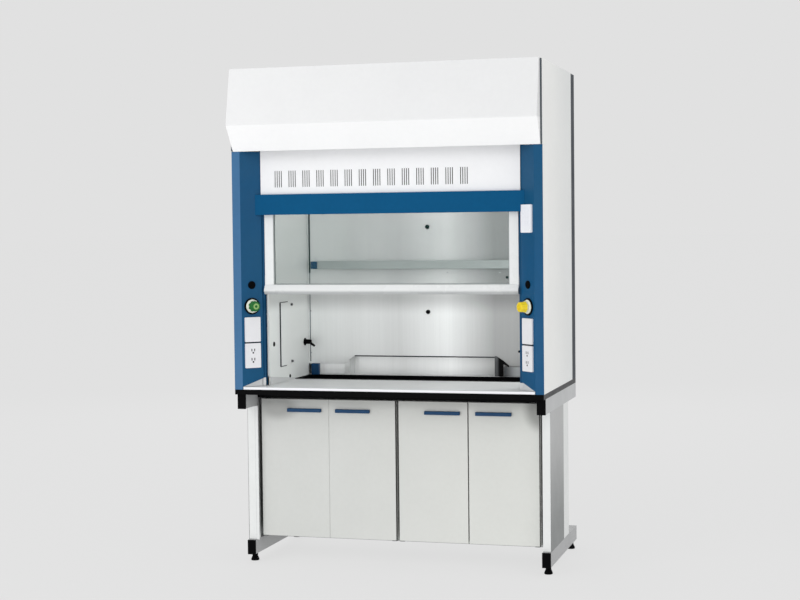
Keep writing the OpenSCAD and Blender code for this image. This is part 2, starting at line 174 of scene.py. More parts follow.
def coat(name, col, rough=0.42, mott=0.025, peel=0.18, spec=0.3,
         tint=None, zgrad=None, ygrad=None, xgrad=None, specks=0.0,
         shade=None, shadow_spots=(), gap_shade_stripes=()):
    """Powder coat: slight mottling, uneven gloss and orange peel; its blends
    along height, depth and width, its top shade, soft spots and narrow stripes
    paint light and shade into the colour.
    """
    m = Mat(name)
    base = col
    if tint:
        base = m.mix(m.rng(m.noise(1.3, 3), 0.35, 0.65, 0, 1), col, tint)
    # zgrad, ygrad and xgrad blend to a second colour along height, depth or
    # width: painted light or shade
    if zgrad:
        z0, z1, other = zgrad
        base = m.mix(m.rng(m.xyz()[2], z0, z1, 1, 0, True), base, other)
    if ygrad:
        y0, y1, other = ygrad
        base = m.mix(m.rng(m.xyz()[1], y0, y1, 0, 1, True), base, other)
    if xgrad:
        x0, x1, other = xgrad
        base = m.mix(m.rng(m.xyz()[0], x0, x1, 0, 1, True), base, other)
    if specks:
        s = m.rng(m.noise(260, 1.0), 0.70, 0.74, 0, specks)
        base = m.mix(s, base, tuple(c * 0.6 for c in col))
    v = m.rng(m.noise(2.6, 5, 0.6), 0.3, 0.7, 1 - mott, 1 + mott)
    v2 = m.rng(m.noise(46, 3, 0.5), 0.3, 0.7, 1 - mott * 0.5,
               1 + mott * 0.5)
    # painted shade: the colour darkens from z0 up to z1, as under an overhang
    if shade:
        z0, z1, low = shade
        v2 = m.math("MULTIPLY", v2, m.rng(m.xyz()[2], z0, z1, 1, low, True))
    # painted shade: narrow vertical dark bands at the gaps between parts
    for xc, half, low in gap_shade_stripes:
        dx = m.math("ABSOLUTE", m.math("SUBTRACT", m.xyz()[0], xc), 0.0)
        v2 = m.math("MULTIPLY", v2,
                    m.rng(dx, half - 0.0006, half, low, 1, True))
    # painted shadows: soft elliptical dark spots
    for x0, z0, rx, rz, low in shadow_spots:
        x, y, z = m.xyz()
        dx = m.math("MULTIPLY", m.math("SUBTRACT", x, x0), 1 / rx)
        dz = m.math("MULTIPLY", m.math("SUBTRACT", z, z0), 1 / rz)
        d = m.math("SQRT", m.math("ADD", m.math("MULTIPLY", dx, dx),
                                  m.math("MULTIPLY", dz, dz)))
        v2 = m.math("MULTIPLY", v2, m.rng(d, 0.35, 1.0, low, 1, True))
    c = m.value(base, m.math("MULTIPLY", v, v2))
    r = m.rng(m.noise(7.5, 4, 0.6), 0.3, 0.7, rough - 0.05, rough + 0.06)
    h = m.noise(420, 2.0, 0.6)
    h2 = m.noise(1500, 1.0, 0.5)
    n = m.bump(h2, peel * 0.5, 0.00008, m.bump(h, peel, 0.00022))
    return m.set(color=c, rough=r, normal=n, spec=spec)


def plastic(name, col, rough=0.4, grain=0.2, mott=0.04, spec=0.35,
            scale=900.0, coatw=0.0, ends=None):
    """Moulded plastic: fine die grain and faint flow mottling."""
    m = Mat(name)
    # ends: beyond |x| x0 to x1 the colour turns to a mottled grey, painted light
    # on the end faces of a black band
    if ends:
        x0, x1, other = ends
        t = m.rng(m.math("ABSOLUTE", m.xyz()[0], 0.0), x0, x1, 0, 1, True)
        lit_end_col = m.mix(m.rng(m.noise(30, 4, 0.6), 0.35, 0.65, 0, 1), other,
                      tuple(q * 0.75 for q in other))
        col = m.mix(t, col, lit_end_col)
    v = m.rng(m.noise(14, 4, 0.6), 0.3, 0.7, 1 - mott, 1 + mott)
    f = m.rng(m.noise(scale * 0.35, 2), 0.3, 0.7, 1 - mott * 0.6,
              1 + mott * 0.6)
    c = m.value(col, m.math("MULTIPLY", v, f))
    r = m.rng(m.noise(60, 3), 0.3, 0.7, rough - 0.05, rough + 0.07)
    cells = m.node("ShaderNodeTexVoronoi", {"Vector": m.tc,
                                            "Scale": scale}).outputs[0]
    n = m.bump(cells, grain, 0.00012)
    m.set(color=c, rough=r, normal=n, spec=spec, coat=coatw,
          coat_rough=0.12)
    return m.m


# painted shadow of the sash rail, a soft dark band across the working chamber
# level with the rail: bottom, darkest from, darkest to, top, depth
RAIL_SHADOW_BAND = (1.175, 1.275, 1.310, 1.350, 0.36)


def rail_shadow_factor(m, band):
    """Painted shadow: a factor that falls smoothly inside a band of heights."""
    z0, z1, z2, z3, depth = band
    z = m.xyz()[2]
    up = m.rng(z, z0, z1, 0, 1, True)
    down = m.rng(z, z2, z3, 1, 0, True)
    t = m.math("MULTIPLY", up, down)
    return m.math("SUBTRACT", 1.0, m.math("MULTIPLY", t, depth))


def brushed(name, col, rough=0.3, axis=2, mott=0.05, fine=0.25, zones=0.0,
            xprofile=None, metal=1.0, shadow_band=None):
    """Satin-ground metal with its grain along one axis."""
    m = Mat(name)
    sc = [420.0, 420.0, 420.0]
    sc[axis] = 5.0
    g = m.noise(1.0, 4, 0.65, m.mapped(tuple(sc)))
    sc2 = [60.0, 60.0, 60.0]
    sc2[axis] = 0.9
    g2 = m.noise(1.0, 3, 0.5, m.mapped(tuple(sc2), (3, 5, 7)))
    v = m.math("MULTIPLY", m.rng(g, 0.3, 0.7, 1 - mott, 1 + mott),
               m.rng(g2, 0.3, 0.7, 1 - mott * 0.6, 1 + mott * 0.6))
    base = col
    if zones:
        base = m.mix(m.rng(m.noise(1.7, 3), 0.35, 0.65, 0, zones), col,
                     tuple(c * 0.8 for c in col))
    # painted reflection: brightness varies across x through a ramp of bright and
    # dark zones
    if xprofile:
        ramp = m.node("ShaderNodeValToRGB",
                      {0: m.rng(m.xyz()[0], -0.62, 0.62, 0, 1)})
        e = ramp.color_ramp.elements
        e[0].position, e[0].color = xprofile[0][0], (xprofile[0][1],) * 3 + (1,)
        e[1].position, e[1].color = xprofile[-1][0], (xprofile[-1][1],) * 3 + (1,)
        for p, val in xprofile[1:-1]:
            k = e.new(p)
            k.color = (val,) * 3 + (1,)
        sep = m.node("ShaderNodeRGBToBW", {0: ramp.outputs[0]}).outputs[0]
        v = m.math("MULTIPLY", v, sep)
    # painted shadow: darker inside a band of heights
    if shadow_band:
        v = m.math("MULTIPLY", v, rail_shadow_factor(m, shadow_band))
    c = m.value(base, v)
    r = m.rng(g, 0.3, 0.7, rough - 0.05, rough + 0.08)
    n = m.bump(g, fine, 0.00005)
    return m.set(color=c, rough=r, metal=metal, normal=n)


def zinc(name, col, rough=0.42, scale=55.0):
    """Galvanised sheet with its crystal spangle."""
    m = Mat(name)
    vo = m.node("ShaderNodeTexVoronoi", {"Vector": m.tc, "Scale": scale,
                                         "Randomness": 1.0})
    bw = m.node("ShaderNodeRGBToBW", {0: vo.outputs["Color"]}).outputs[0]
    v = m.rng(bw, 0.2, 0.8, 0.86, 1.10)
    w = m.rng(m.noise(3.0, 4), 0.3, 0.7, 0.95, 1.05)
    c = m.value(col, m.math("MULTIPLY", v, w))
    r = m.rng(bw, 0.2, 0.8, rough - 0.08, rough + 0.08)
    return m.set(color=c, rough=r, metal=0.85,
                 normal=m.bump(m.noise(500, 2), 0.15, 0.0001))


def laminate(name, col, rough=0.4, fleck=0.35, lip_highlight=None, spec=0.45,
             shadow_band=None):
    """Solid laminate with fine dark and light flecks."""
    m = Mat(name)
    dark = m.rng(m.noise(330, 1.5, 0.6), 0.62, 0.70, 0, fleck)
    light = m.rng(m.noise(410, 1.0, 0.5, m.mapped((1, 1, 1), (9, 4, 2))),
                  0.64, 0.70, 0, fleck * 0.8)
    c = m.mix(dark, col, tuple(x * 0.62 for x in col))
    c = m.mix(light, c, tuple(min(1, x * 1.35) for x in col))
    cloud_and_shade = m.rng(m.noise(2.1, 5, 0.55), 0.3, 0.7, 0.975, 1.03)
    # painted highlight: in front of y0 the colour turns near-white, the light on
    # a rounded front edge
    if lip_highlight:
        y0, y1, lip_highlight_col = lip_highlight
        c = m.mix(m.rng(m.xyz()[1], y0, y1, 1, 0), c, lip_highlight_col)
    # painted shadow: darker inside a band of heights, on top of the random
    # clouding
    if shadow_band:
        cloud_and_shade = m.math("MULTIPLY", cloud_and_shade, rail_shadow_factor(m, shadow_band))
    c = m.value(c, cloud_and_shade)
    smear = m.noise(9, 4, 0.6, m.mapped((1, 0.35, 1)))
    r = m.rng(smear, 0.3, 0.7, rough - 0.06, rough + 0.08)
    n = m.bump(m.noise(620, 2), 0.12, 0.00012)
    return m.set(color=c, rough=r, normal=n, spec=spec)


BLUE = (0.0030, 0.081, 0.205)
M = {}
# painted shade: the frame grey darkens towards the floor, standing for shade
# under the bench
M["frame_grey"] = coat("frame_grey", (0.50, 0.51, 0.515), 0.42, 0.03,
                       zgrad=(0.05, 0.80, (0.40, 0.405, 0.41)))
M["frame_white"] = coat("frame_white", (0.77, 0.785, 0.78), 0.4)
M["black_plastic"] = plastic("black_plastic", (0.0016, 0.0016, 0.0020), 0.5,
                             0.3, 0.10, spec=0.035)
# painted shade: the panel grey darkens towards the bottom
M["panel_grey"] = coat("panel_grey", (0.46, 0.465, 0.465), 0.45, 0.03,
                       zgrad=(0.15, 0.70, (0.21, 0.22, 0.22)))
# black band whose end faces are painted grey: painted light on its sides
M["black_edge"] = plastic("black_edge", (0.0016, 0.0016, 0.0020), 0.45, 0.2,
                          0.12, spec=0.035,
                          ends=(0.7482, 0.7490, (0.088, 0.089, 0.092)))
# worktop laminate with a painted highlight along its front edge
M["worktop_laminate"] = laminate("worktop_laminate", (0.63, 0.638, 0.642),
                                 0.38, 0.30,
                                 lip_highlight=(-0.3818, -0.3812, (0.86, 0.87, 0.90)))
M["black_basin"] = plastic("black_basin", (0.0016, 0.0016, 0.0020), 0.5, 0.25,
                           0.15, spec=0.035)
M["cabinet_board"] = laminate("cabinet_board", (0.70, 0.715, 0.69), 0.5,
                              0.05)
M["zinc_steel"] = zinc("zinc_steel", (0.60, 0.61, 0.63), 0.32, 400)
# door finish with painted light and shade: lighter from left to right, painted
# shadow darkening the top under the worktop, two soft painted shadows at the
# upper outer corners, painted shade in narrow bands at the centre gap and at door
# 4's right edge
M["door_board"] = coat("door_board", (0.625, 0.637, 0.615), 0.46, 0.02,
                       0.14, tint=(0.64, 0.648, 0.632),
                       xgrad=(-0.62, 0.66, (0.685, 0.695, 0.665)),
                       shade=(0.745, 0.797, 0.74),
                       shadow_spots=((-0.600, 0.760, 0.130, 0.085, 0.66),
                              (0.690, 0.760, 0.090, 0.115, 0.52)),
                       gap_shade_stripes=((0.0, 0.0092, 0.14),
                                (0.690, 0.0012, 0.20)))
M["blue_plastic"] = plastic("blue_plastic", (0.010, 0.058, 0.150), 0.34,
                            0.12, 0.08, spec=0.12)
# painted highlight: faces left of x -0.710 m, the left post's front strip, are a
# lighter blue
M["blue_steel"] = coat("blue_steel", BLUE, 0.36, 0.05, 0.2, 0.14,
                       tint=(0.007, 0.078, 0.175),
                       xgrad=(-0.7092, -0.7102, (0.050, 0.150, 0.300)))
M["header_blue"] = coat("header_blue", (0.002, 0.083, 0.205), 0.36, 0.05,
                        0.2, 0.05)
# painted light: everything in this finish below 2.108 m is lighter, on the
# fascia's down-facing lower slope
M["white_steel"] = coat("white_steel", (0.80, 0.805, 0.81), 0.36, 0.015,
                        0.15, zgrad=(2.108, 2.118, (0.985, 0.988, 0.99)))
# a lighter copy of white_steel for the bypass panel: painted light
M["bypass_white"] = coat("bypass_white", (0.90, 0.905, 0.92), 0.36, 0.015,
                         0.15)
# painted shade: darker from the front towards the back of the side panels
M["side_white"] = coat("side_white", (0.90, 0.905, 0.885), 0.42, 0.02,
                       ygrad=(-0.38, 0.38, (0.79, 0.805, 0.80)))
M["rear_grey"] = coat("rear_grey", lin(46, 53, 62), 0.45, 0.04, spec=0.08)
M["zinc_sheet"] = zinc("zinc_sheet", (0.58, 0.60, 0.61))
M["collar_plastic"] = plastic("collar_plastic", (0.36, 0.38, 0.39), 0.45,
                              0.2, 0.05)
# liner laminate with the painted shadow band of the sash rail
M["liner_laminate"] = laminate("liner_laminate", (0.84, 0.865, 0.85), 0.4,
                               0.05, shadow_band=(1.215, 1.275, 1.310, 1.350, 0.30))
# stainless baffle: painted reflection as broad bright and dark zones across x,
# plus the painted shadow band of the sash rail
M["stainless"] = brushed("stainless", (0.68, 0.693, 0.69), 0.48, 2, 0.03,
                         0.2, metal=0.5, xprofile=[(0.0, 1.4), (0.2, 1.0),
                                        (0.4, 0.85), (0.6, 1.15),
                                        (0.8, 0.5), (1.0, 0.45)],
                         shadow_band=RAIL_SHADOW_BAND)
M["rail_glass"] = plastic("rail_glass", (0.48, 0.52, 0.51), 0.4, 0.15)
M["dark_screw"] = brushed("dark_screw", (0.10, 0.10, 0.105), 0.35, 0)
M["valve_ring"] = plastic("valve_ring", (0.73, 0.74, 0.63), 0.35, 0.2)
M["green_plastic"] = plastic("green_plastic", (0.018, 0.150, 0.026), 0.3,
                             0.2, 0.06, spec=0.2, coatw=0.1)
M["yellow_plastic"] = plastic("yellow_plastic", (0.86, 0.66, 0.008), 0.32,
                              0.2, 0.04, coatw=0.3)
M["white_plastic"] = plastic("white_plastic", (0.80, 0.80, 0.825), 0.32,
                             0.15, 0.015)
M["controller_shell"] = plastic("controller_shell", (0.90, 0.91, 0.95), 0.35,
                                0.15, 0.015)
# painted shade: below 1.316 m, the down-facing lower half of the handle rail, is
# grey
M["sash_white"] = coat("sash_white", (0.81, 0.825, 0.825), 0.28, 0.012, 0.1,
                       0.4, zgrad=(1.316, 1.336, (0.50, 0.515, 0.52)))
M["guide_aluminium"] = coat("guide_aluminium", (0.007, 0.070, 0.165), 0.42,
                            0.05, 0.2, 0.10)
M["nylon"] = plastic("nylon", (0.80, 0.78, 0.70), 0.45, 0.2, 0.03)
M["iron_weight"] = coat("iron_weight", (0.05, 0.055, 0.06), 0.5, 0.12, 0.6)
M["bright_shaft"] = brushed("bright_shaft", (0.62, 0.63, 0.64), 0.22, 0)
M["pulley_aluminium"] = brushed("pulley_aluminium", (0.66, 0.67, 0.68),
                                0.3, 0)
M["belt_rubber"] = plastic("belt_rubber", (0.014, 0.014, 0.014), 0.6, 0.4,
                           0.15)
M["bracket_steel"] = coat("bracket_steel", (0.09, 0.10, 0.105), 0.48, 0.06)


def lamp_material():
    m = Mat("lamp_lens")
    z = m.xyz()[2]
    lens = m.rng(z, 2.1045, 2.1040, 0, 1)
    ribs = m.node("ShaderNodeTexWave", {"Vector": m.tc, "Scale": 40.0,
                                        "Distortion": 0.0})
    ribs.wave_type, ribs.bands_direction = "BANDS", "Y"
    c = m.mix(m.rng(m.noise(30, 2), 0.3, 0.7, 0, 1), (0.86, 0.87, 0.86),
              (0.90, 0.90, 0.89))
    power = m.math("MULTIPLY", lens, m.rng(m.noise(6, 2), 0.3, 0.7, 5.2,
                                           5.8))
    return m.set(color=c, rough=m.rng(m.noise(80), 0.3, 0.7, 0.35, 0.45),
                 normal=m.bump(ribs.outputs[1], 0.25, 0.0006),
                 emit=(1.0, 0.99, 0.96), power=power)


def glass_material():
    m = Mat("safety_glass")
    fr = m.node("ShaderNodeLayerWeight", {"Blend": 0.25}).outputs["Fresnel"]
    haze = m.rng(m.noise(3.5, 4, 0.6), 0.35, 0.7, 0.0, 0.02)
    edge = m.rng(m.node("ShaderNodeMath", {
        0: m.xyz()[0]}, operation="ABSOLUTE").outputs[0], 0.575, 0.585, 0,
        0.3)
    a = m.math("ADD", m.math("ADD", m.rng(fr, 0.0, 1.0, 0.185, 0.50), haze),
               edge)
    c = m.mix(m.rng(m.noise(2.2, 3), 0.3, 0.7, 0, 1), (0.016, 0.066, 0.057),
              (0.020, 0.072, 0.063))
    return m.set(color=c, rough=m.rng(m.noise(5, 3), 0.3, 0.7, 0.04, 0.07),
                 alpha=a, spec=0.5, ior=1.5)


M["lamp_lens"] = lamp_material()
M["safety_glass"] = glass_material()
M["cream"] = plastic("cream_flange", (0.77, 0.79, 0.68), 0.35, 0.2)
M["gasket"] = plastic("grey_gasket", (0.30, 0.33, 0.33), 0.55, 0.3, 0.06)
M["green_cap"] = plastic("green_cap", (0.20, 0.46, 0.12), 0.3, 0.15, 0.05)
M["lime_trim"] = plastic("lime_trim", (0.27, 0.46, 0.15), 0.35, 0.15, 0.05)
# near-black finish for the hinge brackets: painted shade inside the door gaps
M["dark_bracket"] = coat("dark_bracket", (0.035, 0.037, 0.040), 0.45)
# grey for the fascia end seals, also painted shade on the baffle's lower left
# edge
M["seal_grey_and_shade"] = plastic("seal_grey_and_shade", (0.100, 0.118, 0.135), 0.55, 0.3, 0.08,
                         spec=0.12)
M["yellow_cap"] = plastic("yellow_cap", (0.80, 0.55, 0.01), 0.3, 0.15, 0.05)
M["membrane"] = plastic("membrane_sheet", (0.88, 0.89, 0.94), 0.3, 0.1, 0.01)
M["button"] = plastic("membrane_button", (0.87, 0.88, 0.93), 0.35, 0.1)
# near-black for the plate joint seals, also painted shade strips on the baffle
# and the inspection cover
M["dark_seal_and_shade"] = plastic("dark_seal_and_shade", (0.022, 0.026, 0.030), 0.55, 0.3, 0.10,
                         spec=0.12)
M["foot_grey"] = plastic("foot_grey", (0.58, 0.59, 0.60), 0.45, 0.15, 0.03)
M["upstand"] = laminate("bench_upstand", (0.64, 0.648, 0.652), 0.38, 0.30)
# painted shade: near-black on the left, lighter grey to the right
M["foot_shade"] = coat("foot_shade", (0.070, 0.075, 0.079), 0.5,
                       xgrad=(0.420, 0.490, (0.42, 0.44, 0.45)))
# painted shade: dark grey, turning near-black beyond x 0.396 m
M["plate_shade"] = coat("plate_shade", (0.100, 0.104, 0.108), 0.6, spec=0.05,
                        xgrad=(0.380, 0.396, (0.003, 0.003, 0.0034)))
M["pale_trim"] = plastic("pale_trim", (0.74, 0.76, 0.755), 0.42, 0.15, 0.02)
# near-black painted shade for socket holes and the bypass strip
M["slot_shade"] = plastic("painted_slot_shade", (0.010, 0.011, 0.011), 0.7, 0.3,
                          0.10, spec=0.05)
M["brass"] = brushed("brass_contact", (0.66, 0.48, 0.20), 0.3, 0)
M["steel_screw"] = brushed("steel_screw", (0.58, 0.59, 0.60), 0.28, 0)


# ------------------------------------------------------- CAD node finishes
BEVEL = {
    "side_beams": 0.0025, "frame_legs": 0.0025, "cross_rails": 0.002,
    "beam_end_caps": 0.0015, "leg_side_panels": 0.0006,
    "base_band": 0.0012, "worktop": 0.0016, "drain_trough": 0.0012,
    "left_cabinet": 0.0008, "right_cabinet": 0.0008,
    "cabinet_shelves": 0.0008, "hinge_brackets": 0.0006,
    "door_1": 0.0016, "door_2": 0.0016, "door_3": 0.0016, "door_4": 0.0016,
    "handle_1": 0.0007, "handle_2": 0.0007, "handle_3": 0.0007,
    "handle_4": 0.0007, "left_post": 0.0006, "right_post": 0.0006,
    "header_bar": 0.0016, "fascia": 0.0006, "side_panels": 0.0005,
    "rear_corner_strips": 0.0008, "rear_panel": 0.0004,
    "roof_panel": 0.0004, "exhaust_collar": 0.0008, "side_liners": 0.0006,
    "chamber_ceiling": 0.0006, "lamp_unit": 0.001, "rear_baffle": 0.0005,
    "baffle_rail": 0.0006, "baffle_blocks": 0.0016,
    "inspection_cover": 0.0008, "service_plates": 0.0013,
    "controller": 0.0022, "hole_plugs": 0.0008, "sash_frame": 0.0022,
    "sash_glass": 0.0005, "sash_guides": 0.0004, "sash_glides": 0.001,
    "sash_arms": 0.0006, "counterweights": 0.002, "top_pulleys": 0.0006,
    "lower_pulleys": 0.0006, "pulley_brackets": 0.001,
}
# hinge brackets take a near-black finish as painted shade in the door gaps; the
# bypass panel takes a lighter copy of white steel, painted light
SPECIAL = {"bypass_panel": "bypass_white", "hinge_brackets": "dark_bracket"}
for name, o in NODE.items():
    o.data.materials.clear()
    o.data.materials.append(M[SPECIAL.get(name, SLOT[name])])
    w = o.modifiers.new("weld", "WELD")
    w.merge_threshold = 0.00002
    d = o.modifiers.new("planar", "DECIMATE")
    d.decimate_type = "DISSOLVE"
    d.angle_limit = math.radians(0.3)
    if name in BEVEL:
        b = o.modifiers.new("edges", "BEVEL")
        b.width = BEVEL[name]
        b.segments = 2
        b.limit_method = "ANGLE"
        b.angle_limit = math.radians(38)
        b.use_clamp_overlap = True
    n = o.modifiers.new("normals", "WEIGHTED_NORMAL")
    n.keep_sharp = False
    n.weight = 60


# ----------------------------------------------------------- mesh builders
def solid(name, bm, mat, body, smooth=40, bevel=0.0,
          recalc=True):
    if recalc:
        bmesh.ops.recalc_face_normals(bm, faces=bm.faces)
    me = bpy.data.meshes.new(name)
    bm.to_mesh(me)
    bm.free()
    me.shade_smooth()
    me.set_sharp_from_angle(angle=math.radians(smooth))
    me.materials.append(M[mat])
    o = bpy.data.objects.new(name, me)
    scene.collection.objects.link(o)
    if bevel:
        b = o.modifiers.new("edges", "BEVEL")
        b.width, b.segments = bevel, 2
        b.limit_method, b.angle_limit = "ANGLE", math.radians(38)
        n = o.modifiers.new("normals", "WEIGHTED_NORMAL")
        n.keep_sharp = False
    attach(o, body)
    return o


def T(x, y, z):
    return Matrix.Translation((x, y, z))


def R(deg, axis):
    return Matrix.Rotation(math.radians(deg), 4, axis)


def face(side, z, u=0.0):
    """Frame on a post's angled face; local +Z points out of the face,
    local X runs along it and local Y runs up."""
    if side > 0:
        m = T(0.710, -0.384, z) @ R(-45, "Z") @ T(-0.054 + u, 0, 0)
    else:
        m = T(-0.710, -0.384, z) @ R(45, "Z") @ T(0.054 + u, 0, 0)
    return m @ R(90, "X")


def lathe(bm, prof, mtx, n=32, rad=None):
    rings = []
    for r, h in prof:
        if r < 1e-7:
            rings.append([bm.verts.new(mtx @ Vector((0, 0, h)))])
            continue
        ring = []
        for i in range(n):
            a = 2 * math.pi * i / n
            q = rad(r, a, h) if rad else r
            ring.append(bm.verts.new(mtx @ Vector((
                q * math.cos(a), q * math.sin(a), h))))
        rings.append(ring)
    for a, b in zip(rings, rings[1:]):
        if len(a) == 1 and len(b) == 1:
            continue
        for i in range(n):
            j = (i + 1) % n
            if len(a) == 1:
                bm.faces.new((a[0], b[j], b[i]))
            elif len(b) == 1:
                bm.faces.new((a[i], a[j], b[0]))
            else:
                bm.faces.new((a[i], a[j], b[j], b[i]))
    return bm


def loop(bm, prof, mtx, n=32, rad=None):
    """Closed ring: the profile's last point joins its first."""
    return lathe(bm, list(prof) + [prof[0]], mtx, n, rad)


def weld(bm, d=1e-6):
    bmesh.ops.remove_doubles(bm, verts=bm.verts, dist=d)
    return bm


def rbox(bm, x0, x1, y0, y1, z0, z1, r=0.001, seg=2, mtx=None):
    b = bmesh.new()
    bmesh.ops.create_cube(b, size=1.0)
    s = Vector((abs(x1 - x0), abs(y1 - y0), abs(z1 - z0)))
    c = Vector(((x0 + x1) / 2, (y0 + y1) / 2, (z0 + z1) / 2))
    for v in b.verts:
        v.co = Vector((v.co.x * s.x, v.co.y * s.y, v.co.z * s.z)) + c
    if r:
        bmesh.ops.bevel(b, geom=list(b.edges), offset=min(
            r, 0.45 * min(s)), segments=seg, affect="EDGES", profile=0.5)
    if mtx is not None:
        b.transform(mtx)
    tmp = bpy.data.meshes.new("tmp")
    b.to_mesh(tmp)
    b.free()
    bm.from_mesh(tmp)
    bpy.data.meshes.remove(tmp)
    return bm


def tube(bm, pts, r, n=14):
    """Round rod along a smooth path, closed at both ends."""
    pts = [Vector(p) for p in pts]
    rings = []
    t0 = (pts[1] - pts[0]).normalized()
    ref = Vector((0, 1, 0)) if abs(t0.y) < 0.9 else Vector((1, 0, 0))
    u = t0.cross(ref).normalized()
    for i, p in enumerate(pts):
        a, b = pts[max(0, i - 1)], pts[min(len(pts) - 1, i + 1)]
        t = (b - a).normalized()
        u = (u - t * u.dot(t)).normalized()
        v = t.cross(u)
        rr = r[i] if isinstance(r, (list, tuple)) else r
        rings.append([bm.verts.new(p + rr * (
            math.cos(2 * math.pi * k / n) * u
            + math.sin(2 * math.pi * k / n) * v)) for k in range(n)])
    for a, b in zip(rings, rings[1:]):
        for k in range(n):
            j = (k + 1) % n
            bm.faces.new((a[k], a[j], b[j], b[k]))
    bm.faces.new(rings[0][::-1])
    bm.faces.new(rings[-1])
    return bm


def picture(bm, x0, x1, z0, z1, w, y0, y1):
    """Mitred rectangular frame in the XZ plane, w wide, y0 to y1 deep."""
    def corners(d):
        return [(x0 + d, z0 + d), (x1 - d, z0 + d), (x1 - d, z1 - d),
                (x0 + d, z1 - d)]
    o, i = corners(0), corners(w)
    vo = [[bm.verts.new((x, y, z)) for x, z in o] for y in (y0, y1)]
    vi = [[bm.verts.new((x, y, z)) for x, z in i] for y in (y0, y1)]
    for k in range(4):
        j = (k + 1) % 4
        bm.faces.new((vo[0][k], vo[0][j], vi[0][j], vi[0][k]))
        bm.faces.new((vo[1][k], vi[1][k], vi[1][j], vo[1][j]))
        bm.faces.new((vo[0][k], vo[1][k], vo[1][j], vo[0][j]))
        bm.faces.new((vi[0][k], vi[0][j], vi[1][j], vi[1][k]))
    return bm


def hexrad(af):
    """Radius function of a hexagon with its flats at the given radius; the half
    across-flats ratio af is not used.
    """
    def f(r, a, h):
        k = (a + math.pi / 6) % (math.pi / 3) - math.pi / 6
        return r / math.cos(k)
    return f


def screw(bm, mtx, r=0.004, h=0.0022):
    """Domed head with a hexagon recess; local +Z points outwards."""
    n = 24
    prof = [(r, -0.0004), (r, h * 0.35), (r * 0.93, h * 0.62),
            (r * 0.78, h * 0.86), (r * 0.58, h)]
    rings = [[bm.verts.new(mtx @ Vector((q * math.cos(2 * math.pi * i / n),
                                         q * math.sin(2 * math.pi * i / n),
                                         z))) for i in range(n)]
             for q, z in prof]
    for z in (h, h * 0.35):
        ring = []
        for i in range(n):
            a = 2 * math.pi * i / n
            k = (a + math.pi / 6) % (math.pi / 3) - math.pi / 6
            q = r * 0.40 / math.cos(k)
            ring.append(bm.verts.new(mtx @ Vector((
                q * math.cos(a), q * math.sin(a), z))))
        rings.append(ring)
    for a, b in zip(rings, rings[1:]):
        for i in range(n):
            j = (i + 1) % n
            bm.faces.new((a[i], a[j], b[j], b[i]))
    bm.faces.new(rings[-1])
    bm.faces.new(rings[0][::-1])
    return bm


def bolt(bm, mtx, r=0.008, h=0.005, washer=True):
    """Hexagon head on a washer; local +Z points outwards."""
    if washer:
        lathe(bm, [(0, 0), (r * 1.55, 0), (r * 1.6, 0.0006),
                   (r * 1.55, 0.0014), (0, 0.0014)], mtx, 28)
    m = mtx @ T(0, 0, 0.0014 if washer else 0)
    lathe(bm, [(0, 0), (r, 0), (r, h * 0.85), (r * 0.9, h), (0, h)], m, 36,
          lambda q, a, z: q / math.cos((a + math.pi / 6) % (math.pi / 3)
                                       - math.pi / 6) if z < h else q)
    return bm


OUT = {"-Y": R(90, "X"), "+Y": R(-90, "X"), "+X": R(90, "Y"),
       "-X": R(-90, "Y"), "+Z": Matrix.Identity(4), "-Z": R(180, "X")}


def at(x, y, z, d):
    return T(x, y, z) @ OUT[d]


